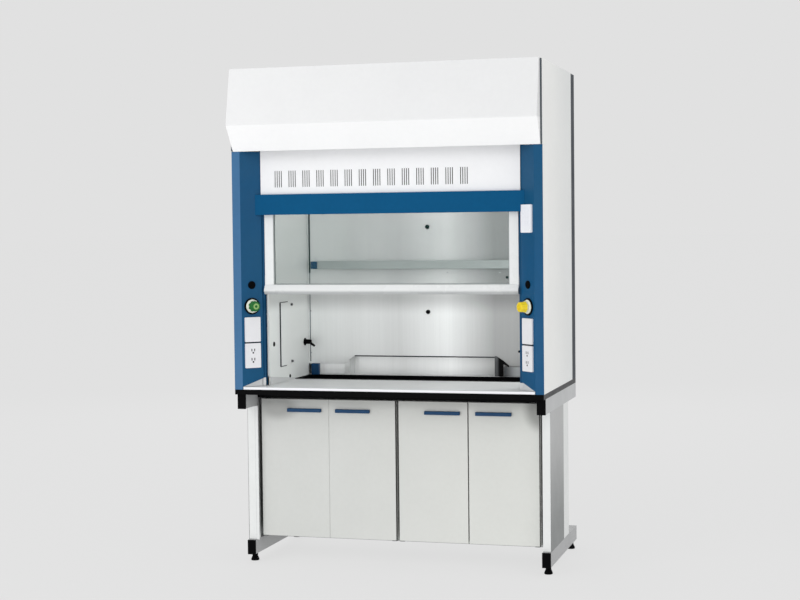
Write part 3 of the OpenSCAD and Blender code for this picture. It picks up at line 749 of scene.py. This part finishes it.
# ------------------------------------------------ service valves and knobs
for side, tag, body, knob_m, cap_m in (
        (-1, "water", "water_knob", "green_plastic", "lime_trim"),
        (1, "gas", "gas_knob", "yellow_plastic", "yellow_cap")):
    F = face(side, 1.256)
    bm = bmesh.new()
    loop(bm, [(0.0062, 0.0002), (0.0394, 0.0002), (0.0400, 0.0012),
              (0.0400, 0.0040), (0.0388, 0.0054), (0.0350, 0.0060),
              (0.0062, 0.0062)], F, 64)
    g = solid(f"{tag}_valve_gasket", bm, "black_plastic", "hood")
    bm = bmesh.new()
    ribs = 20
    loop(bm, [(0.0062, 0.0060), (0.0322, 0.0060), (0.0330, 0.0070),
              (0.0315, 0.0095), (0.0272, 0.0120), (0.0215, 0.0126),
              (0.0205, 0.0134), (0.0205, 0.0168), (0.0196, 0.0178),
              (0.0062, 0.0178)], F, ribs * 6,
         lambda r, a, h: r - (0.0034 * (0.5 + 0.5 * math.cos(ribs / 2 * a))
                              if 0.0065 < h < 0.0124 and r > 0.02 else 0))
    fl = solid(f"{tag}_valve_flange", bm, "cream", "hood")
    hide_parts("valve_bases")
    bm = bmesh.new()

    def lobes(r, a, h):
        if r < 0.012:
            return r
        k = 0.5 + 0.5 * math.cos(8 * a)
        return r - 0.0034 * (k ** 1.6) * (1 if h < 0.0475 else
                                         max(0, (0.0510 - h) / 0.0035))
    lathe(bm, [(0, 0.0052), (0.0050, 0.0052), (0.0050, 0.0190),
               (0.0232, 0.0187), (0.0262, 0.0190), (0.0266, 0.0202),
               (0.0246, 0.0222),
               (0.0240, 0.0320), (0.0238, 0.0425), (0.0233, 0.0462),
               (0.0222, 0.0488), (0.0202, 0.0503), (0.0178, 0.0508),
               (0.0150, 0.0508), (0.0146, 0.0496), (0.0146, 0.0490),
               (0, 0.0490)], F, 96, lobes)
    k = solid(f"{tag}_knob_grip", bm, knob_m, body, smooth=50)
    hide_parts(body)
    bm = bmesh.new()
    loop(bm, [(0.0070, 0.0486), (0.0144, 0.0486), (0.0144, 0.0500),
              (0.0134, 0.0507), (0.0084, 0.0509), (0.0070, 0.0503)], F, 40)
    solid(f"{tag}_knob_cap", bm, cap_m, body)
    bm = bmesh.new()
    lathe(bm, [(0, 0.0486), (0.0068, 0.0486), (0.0068, 0.0494),
               (0, 0.0496)], F, 30)
    rbox(bm, -0.0012, 0.0012, -0.0052, 0.0052, 0.0490, 0.0501, 0.0004, 2, F)
    solid(f"{tag}_knob_screw", bm, knob_m, body)

# --------------------------------------------- plates, sockets, controller
for side, tag in ((-1, "left"), (1, "right")):
    F = face(side, 1.019)
    bm = bmesh.new()
    rbox(bm, -0.027, 0.027, -0.044, 0.044, -0.024, -0.0006, 0.002, 2, F)
    solid(f"{tag}_outlet_body", bm, "black_plastic", "hood")
    bm = bmesh.new()
    for dz in (0.022, -0.022):
        for dx in (-0.0065, 0.0065):
            rbox(bm, dx - 0.0006, dx + 0.0006, dz + 0.0005, dz + 0.0075,
                 -0.0006, 0.0035, 0.0002, 1, F)
    solid(f"{tag}_outlet_contacts", bm, "brass", "hood")
    bm = bmesh.new()
    screw(bm, F @ T(0, 0, 0.0078), 0.0028, 0.0012)
    G = face(side, 1.144)
    for dz in (-0.0475, 0.0475):
        screw(bm, G @ T(0, dz, 0.0078), 0.0028, 0.0012)
    solid(f"{tag}_plate_screws", bm, "white_plastic", "hood")
    bm = bmesh.new()
    for dz in (0.022, -0.022):
        m4 = F @ T(0, dz - 0.001, 0.0079)
        loop(bm, [(0.0158, 0), (0.0166, 0.0001), (0.0166, 0.0005),
                  (0.0158, 0.0006)], m4, 48)
    solid(f"{tag}_outlet_rims", bm, "white_plastic", "hood")
    # blanking plug: raised rim and a coin slot
    P = face(side, 1.357)
    bm = bmesh.new()
    loop(bm, [(0.0085, 0.0056), (0.0098, 0.0056), (0.0098, 0.0066),
              (0.0092, 0.0069), (0.0085, 0.0066)], P, 40)
    rbox(bm, -0.0068, 0.0068, -0.0010, 0.0010, 0.0056, 0.0064, 0.0003, 1, P)
    solid(f"{tag}_plug_rim", bm, "black_plastic", "hood")

C = face(1, 1.658)
bm = bmesh.new()
rbox(bm, -0.0305, 0.0305, -0.0335, 0.0495, 0.0109, 0.0119, 0.0004, 1, C)
solid("controller_membrane", bm, "membrane", "hood")
bm = bmesh.new()
for i in range(3):
    for j in range(2):
        lathe(bm, [(0, 0.0118), (0.0062, 0.0118), (0.0060, 0.0120),
                   (0.0045, 0.0122), (0, 0.0122)],
              C @ T(-0.018 + 0.018 * i, -0.018 + 0.022 * j, 0), 28)
solid("controller_buttons", bm, "button", "hood")
bm = bmesh.new()
for i in range(4):
    lathe(bm, [(0, 0.0118), (0.0016, 0.0118), (0.0014, 0.0124),
               (0, 0.0127)], C @ T(-0.018 + 0.012 * i, 0.033, 0), 16)
solid("controller_lamps", bm, "button", "hood")

# ------------------------------------------------------------------- sash
bm = bmesh.new()
picture(bm, -0.5762, 0.5762, 1.3568, 2.1372, 0.0045, -0.2945, -0.2921)
solid("sash_gasket_front", bm, "gasket", "sash", bevel=0.0006)
bm = bmesh.new()
picture(bm, -0.5762, 0.5762, 1.3568, 2.1372, 0.0045, -0.2859, -0.2835)
solid("sash_gasket_rear", bm, "gasket", "sash", bevel=0.0006)
bm = bmesh.new()
for s in (-1, 1):
    for z in (1.3460, 2.1550):
        screw(bm, at(s * 0.600, -0.3012, z, "-Y"), 0.0035, 0.0016)
    for z in (1.330, 2.1560):
        screw(bm, at(s * 0.600, -0.2770, z, "+Y"), 0.0035, 0.0016)
solid("sash_corner_screws", bm, "steel_screw", "sash")
bm = bmesh.new()
for s in (-1, 1):
    for x in (0.600, 0.660):
        for dz in (-0.010, 0.010):
            if x > 0.65:
                bolt(bm, at(s * 0.658, -0.2660, 1.991 + dz, "+Y"), 0.0028,
                     0.0025, False)
            else:
                bolt(bm, at(s * x, -0.2730, 1.991 + dz, "+Y"), 0.0035,
                     0.003)
solid("sash_arm_bolts", bm, "steel_screw", "sash")

# ----------------------------------------------------------- the chamber
bm = bmesh.new()
for p in ((0.027, 1.627), (0.027, 1.197), (0.436, 1.371)):
    m4 = at(p[0], 0.310, p[1], "-Y")
    if p[0] > 0.1:
        m4 = m4 @ Matrix.Diagonal((0.6, 0.6, 0.6, 1.0))
    lathe(bm, [(0, 0), (0.0108, 0), (0.0110, 0.0010), (0.0106, 0.0038),
               (0.0055, 0.0042), (0.0052, 0.0078), (0.0082, 0.0082),
               (0.0091, 0.0094), (0.0091, 0.0136), (0.0080, 0.0154),
               (0.0050, 0.0160), (0, 0.0160)], m4, 64,
          lambda r, a, h: r * (1 - (0.10 * (0.5 + 0.5 * math.cos(8 * a))
                                    if h > 0.0080 and r > 0.007 else 0)))
k = solid("baffle_star_knobs", bm, "black_plastic", "hood")
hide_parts("baffle_knobs")
bm = bmesh.new()
for x in (-0.600, 0.600):
    for z in (0.985, 1.20, 1.60, 1.80, 2.00):
        screw(bm, at(x, 0.3100, z, "-Y"), 0.0036, 0.0018)
for x in (-0.40, -0.13, 0.13, 0.40):
    screw(bm, at(x, 0.3100, 2.035, "-Y"), 0.0036, 0.0018)
    screw(bm, at(x, 0.3100, 1.395, "-Y"), 0.0036, 0.0018)
solid("baffle_screws", bm, "steel_screw", "hood")
bm = bmesh.new()
for s in (-1, 1):
    for y in (-0.24, 0.29):
        for z in (1.35, 1.75, 2.07):
            screw(bm, at(s * 0.615, y, z, "-X" if s > 0 else "+X"), 0.0036,
                  0.0016)
solid("liner_screws", bm, "steel_screw", "hood")
bm = bmesh.new()
for p in ((-0.59, -0.23), (0.59, -0.23), (-0.59, 0.28), (0.59, 0.28),
          (-0.33, -0.02), (0.33, -0.02), (0, -0.11), (0, 0.07)):
    screw(bm, at(p[0], p[1], 2.100, "-Z"), 0.0036, 0.0016)
solid("ceiling_screws", bm, "steel_screw", "hood")
# bezel round the lamp's lens
bm = bmesh.new()
for x0, x1, y0, y1 in ((-0.311, 0.311, -0.0905, -0.0795),
                       (-0.311, 0.311, 0.0395, 0.0505),
                       (-0.311, -0.2995, -0.0790, 0.0390),
                       (0.2995, 0.311, -0.0790, 0.0390)):
    rbox(bm, x0, x1, y0, y1, 2.0982, 2.1000, 0.0006, 1)
solid("lamp_bezel", bm, "white_plastic", "hood")


def nozzle(tag, x, y, z, s, drop, reach):
    """Serrated spout on a round flange; s is the way it points."""
    A = T(x, y, z) @ (R(90, "Y") if s > 0 else R(-90, "Y"))
    bm = bmesh.new()
    lathe(bm, [(0, 0), (0.0188, 0), (0.0190, 0.0010), (0.0188, 0.0040),
               (0.0160, 0.0050), (0.0128, 0.0054), (0.0120, 0.0070),
               (0.0118, 0.0290), (0.0104, 0.0345), (0.0060, 0.0360),
               (0, 0.0360)], A, 44)
    for k in range(3):
        a = math.radians(90 + 120 * k)
        screw(bm, A @ T(0.0152 * math.cos(a), 0.0152 * math.sin(a),
                        0.0046), 0.0020, 0.0010)
    p0 = Vector((x + s * 0.022, y, z))
    d = Vector((s * math.sin(math.radians(drop)), 0,
                math.cos(math.radians(drop))))
    pts, rad = [], []
    big = 1.18
    for i in range(9):
        t = i / 8
        bend = Vector((s * (1 - t), 0, 0)) * (1 - t)
        pts.append(p0 + d * (0.004 + 0.018 * t) + bend * 0.002)
        rad.append(big * (0.0056 - 0.0006 * t))
    end = p0 + d * 0.022
    length = reach - 0.022
    steps = 5
    for i in range(steps):
        a = end + d * (length * (i + 0.15) / steps)
        b = end + d * (length * (i + 0.85) / steps)
        pts += [a, b]
        rad += [big * (0.0062 - 0.0003 * i), big * (0.0044 - 0.0002 * i)]
    tube(bm, pts, rad, 20)
    return solid(f"{tag}_spout", bm, "black_plastic", "hood")


w = nozzle("water", -0.615, 0.252, 1.045, 1, 125, 0.0395)
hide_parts("water_outlet")
g = nozzle("gas", 0.615, 0.035, 1.041, -1, 115, 0.0515)
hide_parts("gas_nozzle")

# drain trough strainer
bm = bmesh.new()
S = T(-0.520, 0.188, 0.8190)
loop(bm, [(0.0195, 0), (0.0255, 0), (0.0262, 0.0010), (0.0250, 0.0022),
          (0.0200, 0.0026), (0.0195, 0.0020)], S, 48)
loop(bm, [(0.0105, 0.0004), (0.0130, 0.0004), (0.0130, 0.0020),
          (0.0105, 0.0020)], S, 36)
lathe(bm, [(0, 0.0004), (0.0045, 0.0004), (0.0045, 0.0020),
           (0, 0.0022)], S, 24)
for k in range(6):
    rbox(bm, 0.004, 0.0200, -0.0010, 0.0010, 0.0005, 0.0019, 0.0002, 1,
         S @ R(60 * k, "Z"))
solid("drain_strainer", bm, "steel_screw", "hood")

# ------------------------------------------------------------ bench frame
bm = bmesh.new()
for sx in (-1, 1):
    for y in (-0.199, 0.420):
        B = T(sx * 0.730, y, 0)
        lathe(bm, [(0, 0), (0.0188, 0), (0.0200, 0.0012), (0.0200, 0.0072),
                   (0.0190, 0.0092), (0.0150, 0.0190), (0.0134, 0.0212),
                   (0.0128, 0.0236), (0, 0.0236)], B, 48)
        lathe(bm, [(0, 0.0232), (0.0118, 0.0232), (0.0124, 0.0244),
                   (0.0124, 0.0330), (0.0118, 0.0342), (0, 0.0342)], B, 36,
              lambda r, a, h: r / math.cos(
                  (a + math.pi / 6) % (math.pi / 3) - math.pi / 6))
        prof = [(0, 0.0338), (0.0050, 0.0338)]
        z = 0.0342
        while z < 0.0462:
            prof += [(0.0050, z), (0.0044, z + 0.0006)]
            z += 0.0012
        prof += [(0.0044, 0.0468), (0, 0.0468)]
        lathe(bm, prof, B, 20)
f = solid("feet_and_studs", bm, "black_plastic", "hood")
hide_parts("levelling_feet")

# weld beads where the legs meet the beams
bm = bmesh.new()
for sx in (-1, 1):
    for y0, y1 in ((-0.227, -0.167), (0.114, 0.250)):
        for z in (0.1085, 0.7615):
            xa, xb = sx * 0.7115, sx * (0.7462 if y0 < 0 else 0.7485)
            for yy in (y0 - 0.0003, y1 + 0.0003):
                tube(bm, [(xa + (xb - xa) * i / 8, yy, z +
                           0.0003 * math.sin(i * 2.1)) for i in range(9)],
                     0.0016, 8)
solid("weld_beads", bm, "frame_grey", "hood")
bm = bmesh.new()
for sx in (-1, 1):
    d = "-X" if sx > 0 else "+X"
    for y, z in ((-0.110, 0.818), (0.340, 0.818), (0.210, 0.075)):
        for dz in (-0.008, 0.008):
            bolt(bm, at(sx * 0.7096, y + 0.030 * (1 if dz > 0 else -1),
                        z + dz, d), 0.0065, 0.0045)
solid("frame_bolts", bm, "steel_screw", "hood")

# --------------------------------------------------------------- cabinets
HING = [(-0.680, 1), (-0.015, -1), (0.015, 1), (0.683, -1)]
DOORS = [("left_outer_door", -0.687, -0.344), ("left_inner_door", -0.341,
                                               -0.008),
         ("right_inner_door", 0.008, 0.346), ("right_outer_door", 0.352,
                                              0.690)]
for i, (body, xa, xb) in enumerate(DOORS, 1):
    free = xb if HING[i - 1][1] > 0 else xa
    s = HING[i - 1][1]
    bm = bmesh.new()
    for z in (0.150, 0.770):
        lathe(bm, [(0, -0.0002), (0.0045, -0.0002), (0.0045, 0.0010),
                   (0.0032, 0.0018), (0, 0.0020)],
              at(free - s * 0.020, -0.1770, z, "+Y"), 20)
    solid(f"door_{i}_buffers", bm, "gasket", body)
    bm = bmesh.new()
    for dx in (0.060, 0.182):
        screw(bm, at(free - s * dx, -0.1770, 0.744, "+Y"), 0.0035, 0.0014)
    solid(f"door_{i}_pull_screws", bm, "steel_screw", body)
bm = bmesh.new()
for x0, x1 in ((-0.674, -0.022), (0.022, 0.677)):
    for x, d in ((x0, "+X"), (x1, "-X")):
        for y in (-0.090, 0.240):
            for z in (0.448,):
                lathe(bm, [(0, 0), (0.0035, 0), (0.0035, 0.0070),
                           (0.0028, 0.0078), (0, 0.0080)], at(x, y, z, d),
                      16)
solid("shelf_pins", bm, "steel_screw", "hood")
bm = bmesh.new()
for x, s in HING:
    for z, d in ((0.800, "+Z"), (0.121, "-Z")):
        screw(bm, at(x + s * 0.008, -0.150, z, d), 0.0030, 0.0014)
solid("hinge_bracket_screws", bm, "steel_screw", "hood")

# ------------------------------------------------------- back, roof, duct
bm = bmesh.new()
for x in (-0.250, 0.250):
    rbox(bm, x - 0.018, x + 0.018, 0.4716, 0.4730, 0.872, 2.304, 0.0004, 1)
solid("rear_joint_strips", bm, "zinc_sheet", "hood")
bm = bmesh.new()
for x in (-0.250, 0.250):
    for k in range(9):
        for dx in (-0.010, 0.010):
            screw(bm, at(x + dx, 0.4730, 0.90 + 0.172 * k, "+Y"), 0.0035,
                  0.0016)
for x in (-0.665, -0.46, 0, 0.46, 0.665):
    for z in (0.885, 2.295):
        screw(bm, at(x, 0.4720, z, "+Y"), 0.0035, 0.0018)
solid("rear_screws", bm, "steel_screw", "hood")
bm = bmesh.new()
for x in (-0.46, 0.46):
    rbox(bm, x - 0.012, x + 0.012, -0.240, 0.440, 2.3200, 2.3270, 0.0030, 3)
for y in (-0.20, 0.06):
    rbox(bm, -0.42, 0.42, y - 0.012, y + 0.012, 2.3200, 2.3270, 0.0030, 3)
solid("roof_beads", bm, "zinc_sheet", "hood")
bm = bmesh.new()
O = T(0, 0.310, 0)
loop(bm, [(0.1252, 2.3196), (0.1420, 2.3196), (0.1440, 2.3206),
          (0.1430, 2.3226), (0.1290, 2.3232), (0.1252, 2.3262)], O, 96)
solid("collar_seal", bm, "black_plastic", "hood")
bm = bmesh.new()
for z in (2.338, 2.356):
    loop(bm, [(0.1249, z - 0.0030), (0.1263, z - 0.0016),
              (0.1268, z), (0.1263, z + 0.0016), (0.1249, z + 0.0030)], O,
         96)
solid("collar_beads", bm, "collar_plastic", "hood")
bm = bmesh.new()
for x in (-0.70, -0.35, 0.0, 0.35, 0.70):
    for y in (-0.250,):
        screw(bm, at(x, y, 2.3200, "+Z"), 0.0035, 0.0018)
for k in range(8):
    a = math.radians(22.5 + 45 * k)
    screw(bm, at(0.1365 * math.cos(a), 0.310 + 0.1365 * math.sin(a),
                 2.3224, "+Z"), 0.0028, 0.0016)
for x in (-0.69, 0.69):
    for y in (0.0, 0.25):
        screw(bm, at(x, y, 2.3200, "+Z"), 0.0035, 0.0018)
solid("roof_screws", bm, "steel_screw", "hood")

# ---------------------------------------------------- belts and the weights
PITCH = 0.008


def belt(bm, xa, xb):
    """Closed toothed belt in the YZ plane round two equal pulleys."""
    yc, z0, z1 = -0.230, 1.180, 2.260
    ro, ri, rt = 0.0423, 0.0412, 0.0404
    run = z1 - z0
    half = math.pi * ri
    total = 2 * run + 2 * half
    n = round(total / PITCH) * 4

    def point(s, r):
        if s < run:
            return (yc - r, z0 + s)
        s -= run
        if s < half:
            a = s / ri
            return (yc - r * math.cos(a), z1 + r * math.sin(a))
        s -= half
        if s < run:
            return (yc + r, z1 - s)
        s -= run
        a = s / ri
        return (yc + r * math.cos(a), z0 - r * math.sin(a))
    rows = []
    for i in range(n):
        s = total * i / n
        inner = rt if i % 4 in (1, 2) else ri
        row = []
        for r in (ro, inner):
            y, z = point(s, r)
            row.append((bm.verts.new((xa, y, z)), bm.verts.new((xb, y, z))))
        rows.append(row)
    for i in range(n):
        a, b = rows[i], rows[(i + 1) % n]
        bm.faces.new((a[0][0], b[0][0], b[0][1], a[0][1]))
        bm.faces.new((a[1][0], a[1][1], b[1][1], b[1][0]))
        bm.faces.new((a[0][0], a[1][0], b[1][0], b[0][0]))
        bm.faces.new((a[0][1], b[0][1], b[1][1], a[1][1]))


bm = bmesh.new()
for s in (-1, 1):
    belt(bm, s * 0.652, s * 0.664)
t = solid("toothed_belts", bm, "belt_rubber", "hood", smooth=25)
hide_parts("timing_belts")
bm = bmesh.new()
for s in (-1, 1):
    for z in (1.40, 1.46, 1.52, 1.58, 1.64):
        rbox(bm, s * 0.6732, s * 0.7388, -0.2258, -0.1492, z - 0.0012,
             z + 0.0012, 0.0004, 1)
solid("weight_plate_joints", bm, "bracket_steel", "counterweights")
bm = bmesh.new()
for s in (-1, 1):
    for dz in (-0.010, 0.010):
        bolt(bm, at(s * 0.6575, -0.1830, 1.620 + dz, "+Y"), 0.0035, 0.003,
             False)
solid("weight_clamp_bolts", bm, "steel_screw", "counterweights")

# ------------------------------------------------------- seals, trims and strips of painted shade
bm = bmesh.new()
for side in (-1, 1):
    rbox(bm, -0.0396, 0.0396, -0.0021, 0.0021, 0.0002, 0.0066, 0.0004, 1,
         face(side, 1.0815))
solid("plate_joint_seals", bm, "dark_seal_and_shade", "hood")
# socket slots and earth holes drawn as near-black blocks: painted shade standing
# for the holes
for side, tag in ((-1, "left"), (1, "right")):
    F = face(side, 1.019)
    bm = bmesh.new()
    for dz in (0.022, -0.022):
        for dx in (-0.0065, 0.0065):
            rbox(bm, dx * 1.12 - 0.0024, dx * 1.12 + 0.0024, dz - 0.0014,
                 dz + 0.0110, 0.0060, 0.00820, 0.0002, 1, F)
        lathe(bm, [(0, 0.0060), (0.0044, 0.0060), (0.0044, 0.0081),
                   (0, 0.0082)], F @ T(0, dz - 0.0082, 0), 20)
    solid(f"{tag}_outlet_slot_shade", bm, "slot_shade", "hood")
# near-black strips along the baffle's side edges and the notch top: painted shade
# lines at corner and edge
bm = bmesh.new()
rbox(bm, -0.6070, -0.5990, 0.3066, 0.3099, 1.3960, 2.0985, 0.0008, 2)
rbox(bm, 0.6000, 0.6035, 0.3072, 0.3099, 0.9400, 2.0985, 0.0006, 1)
rbox(bm, -0.3640, 0.3690, 0.3062, 0.3099, 0.9672, 0.9730, 0.0006, 1)
solid("baffle_edge_shade_strips", bm, "dark_seal_and_shade", "hood")
# grey strip low on the baffle's left edge: painted shade line
bm = bmesh.new()
rbox(bm, -0.6048, -0.6012, 0.3072, 0.3099, 0.9400, 1.3955, 0.0006, 1)
solid("baffle_side_shade_strip", bm, "seal_grey_and_shade", "hood")
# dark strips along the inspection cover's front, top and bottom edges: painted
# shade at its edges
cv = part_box("inspection_cover")
bm = bmesh.new()
rbox(bm, -0.6149, -0.6092, cv[0][1] - 0.0030, cv[0][1] - 0.0002, cv[0][2],
     cv[1][2], 0.0004, 1)
rbox(bm, -0.6149, -0.6120, cv[0][1], cv[0][1] + 0.110, cv[1][2] + 0.0002,
     cv[1][2] + 0.0034, 0.0004, 1)
rbox(bm, -0.6149, -0.6120, cv[0][1], cv[0][1] + 0.085, cv[0][2] - 0.0034,
     cv[0][2] - 0.0002, 0.0004, 1)
solid("cover_edge_shade_strip", bm, "dark_seal_and_shade", "hood")
bm = bmesh.new()
for z in (1.246, 0.962):
    lathe(bm, [(0, 0), (0.0066, 0), (0.0068, 0.0006), (0.0066, 0.0014),
               (0.0058, 0.0018), (0.0060, 0.0022), (0.0060, 0.0078),
               (0.0052, 0.0090), (0, 0.0090)], at(-0.613, 0.044, z, "+X"),
          72, lambda r, a, h: r - (0.0004 * (0.5 + 0.5 * math.cos(24 * a))
                                   if 0.0020 < h < 0.0080 else 0))
k = solid("cover_thumb_screws", bm, "dark_screw", "hood")
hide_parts("cover_screws")
bm = bmesh.new()
for y, z, r in ((-0.205, 1.064, 0.0120), (0.020, 0.889, 0.0090)):
    lathe(bm, [(0, 0), (r * 0.98, 0), (r, 0.0008), (r * 0.92, 0.0030),
               (r * 0.55, 0.0038), (0, 0.0040)], at(-0.6149, y, z, "+X"),
          36)
k = solid("liner_blank_plugs", bm, "black_plastic", "hood")
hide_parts("cover_screws")
# end plate over the duct space's right foot, painted shade: dark grey, near-black
# beyond x 0.396 m
bm = bmesh.new()
loop_pts = [(0.3700, 0.8745), (0.3700, 0.9760), (0.3800, 0.9760),
            (0.4140, 0.9540), (0.4430, 0.9300), (0.4430, 0.9215),
            (0.4140, 0.9360), (0.4140, 0.8745)]
lo = [bm.verts.new((x, 0.3064, z)) for x, z in loop_pts]
hi = [bm.verts.new((x, 0.3092, z)) for x, z in loop_pts]
bm.faces.new(lo[::-1])
bm.faces.new(hi)
for i in range(len(lo)):
    j = (i + 1) % len(lo)
    bm.faces.new((lo[i], lo[j], hi[j], hi[i]))
bmesh.ops.recalc_face_normals(bm, faces=bm.faces[:])
solid("slot_end_shade_plate", bm, "plate_shade", "hood")
# foot plate in a painted shade gradient, dark on the left and lighter to the
# right
bm = bmesh.new()
rbox(bm, 0.4170, 0.5040, 0.3066, 0.3092, 0.8745, 0.9220, 0.0005, 1)
solid("slot_foot_plate", bm, "foot_shade", "hood")
# pale infill behind the raked foot of each post
bm = bmesh.new()
for side in (-1, 1):
    rbox(bm, -0.050, 0.050, -0.0190, 0.0190, -0.0042, -0.0016, 0.0004, 1,
         face(side, 0.8900))
solid("post_foot_infills", bm, "foot_grey", "hood")
bm = bmesh.new()
rbox(bm, -0.6218, -0.6152, -0.2768, -0.2622, 0.9130, 1.5300, 0.0006, 1)
solid("liner_edge_trims", bm, "pale_trim", "hood")
# upstands at the feet of the guides and liners, clear of the lowered sash
bm = bmesh.new()
for s in (-1, 1):
    top = 0.9100 if s < 0 else 0.9030
    rbox(bm, s * 0.6220, s * 0.6482, -0.3030, -0.2995, 0.8704, top,
         0.0008, 1)
    rbox(bm, s * 0.6152, s * 0.6180, -0.2740, -0.2640, 0.8704, top,
         0.0008, 1)
    tri = [(-0.2618, 0.8704), (-0.2618, top), (0.1280, 0.8716),
           (0.1280, 0.8704)]
    lo = [bm.verts.new((s * 0.6128, y, z)) for y, z in tri]
    hi = [bm.verts.new((s * 0.6149, y, z)) for y, z in tri]
    fs = [bm.faces.new(lo), bm.faces.new(hi[::-1])]
    for i in range(4):
        j = (i + 1) % 4
        fs.append(bm.faces.new((lo[j], lo[i], hi[i], hi[j])))
bmesh.ops.recalc_face_normals(bm, faces=bm.faces[:])
solid("bench_upstands", bm, "upstand", "hood")
# near-black strip across the bypass: painted shade
bm = bmesh.new()
rbox(bm, -0.5850, 0.5850, -0.3086, -0.3050, 1.8050, 1.9180, 0.0008, 1)
solid("bypass_shade_strip", bm, "slot_shade", "hood")
bm = bmesh.new()
for s in (-1, 1):
    rbox(bm, s * 0.7424, s * 0.7486, -0.3930, -0.3840, 1.9940, 2.3780,
         0.0005, 1)
solid("fascia_end_seals", bm, "seal_grey_and_shade", "hood")
# filler strip that widens the front of the left leg
bm = bmesh.new()
rbox(bm, -0.7098, -0.6955, -0.2268, -0.2250, 0.1072, 0.7628, 0.0004, 1)
solid("left_leg_filler", bm, "frame_white", "hood")
# pale edge strip that closes the gap between the left pair of doors
bm = bmesh.new()
rbox(bm, -0.3440, -0.3417, -0.1945, -0.1915, 0.1270, 0.7940, 0.0005, 1)
solid("left_door_edge_strip", bm, "door_board", "left_outer_door")

# ------------------------------------------------------- stage and lights
def area(name, loc, target, size, power, color=(1, 1, 1), size_y=None):
    d = bpy.data.lights.new(name, "AREA")
    d.shape = "RECTANGLE"
    d.size, d.size_y = size, size_y or size
    d.energy = power
    d.color = color
    o = bpy.data.objects.new(name, d)
    scene.collection.objects.link(o)
    o.location = loc
    o.rotation_euler = (Vector(target) - Vector(loc)).to_track_quat(
        "-Z", "Y").to_euler()
    o.visible_camera = False
    return o


world = bpy.data.worlds.new("studio")
world.use_nodes = True
bg = world.node_tree.nodes["Background"]
bg.inputs[0].default_value = (0.753, 0.753, 0.753, 1)
bg.inputs[1].default_value = 1.0
scene.world = world

me = bpy.data.meshes.new("floor")
bm = bmesh.new()
bmesh.ops.create_grid(bm, x_segments=8, y_segments=8, size=400)
bm.to_mesh(me)
bm.free()
floor = bpy.data.objects.new("floor", me)
floor.location = (0, 0, -0.0005)
scene.collection.objects.link(floor)
fm = bpy.data.materials.new("studio_floor")
fm.use_nodes = True
nt = fm.node_tree
pb = nt.nodes["Principled BSDF"]
pb.inputs["Base Color"].default_value = (0.12, 0.12, 0.12, 1)
pb.inputs["Roughness"].default_value = 0.9
pb.inputs["Specular IOR Level"].default_value = 0.0
pb.inputs["Emission Color"].default_value = (1, 1, 1, 1)
pb.inputs["Emission Strength"].default_value = 0.66
me.materials.append(fm)

area("key", (-4.5, -6.5, 5.0), (0, 0, 1.3), 3.5, 110, size_y=3.5)
area("front_low", (-1.5, -6.0, 0.5), (0, 0, 2.0), 4.0, 62, size_y=1.0)
area("right_fill", (6.0, -3.0, 2.6), (0.6, 0, 1.3), 3.0, 45)
area("back_fill", (-2.0, 7.0, 4.0), (0, 0.4, 1.3), 4.0, 60)

area("chamber_fill", (0, -0.255, 1.78), (0, 0.31, 1.78), 1.10, 1.8,
     size_y=0.60)
area("chamber_side", (0.600, -0.02, 1.42), (-0.6, -0.02, 1.42), 0.45, 1.9,
     size_y=1.00)
area("slot_fill", (0, 0.330, 0.925), (0, 0.390, 0.925), 1.22, 0.20,
     size_y=0.08)
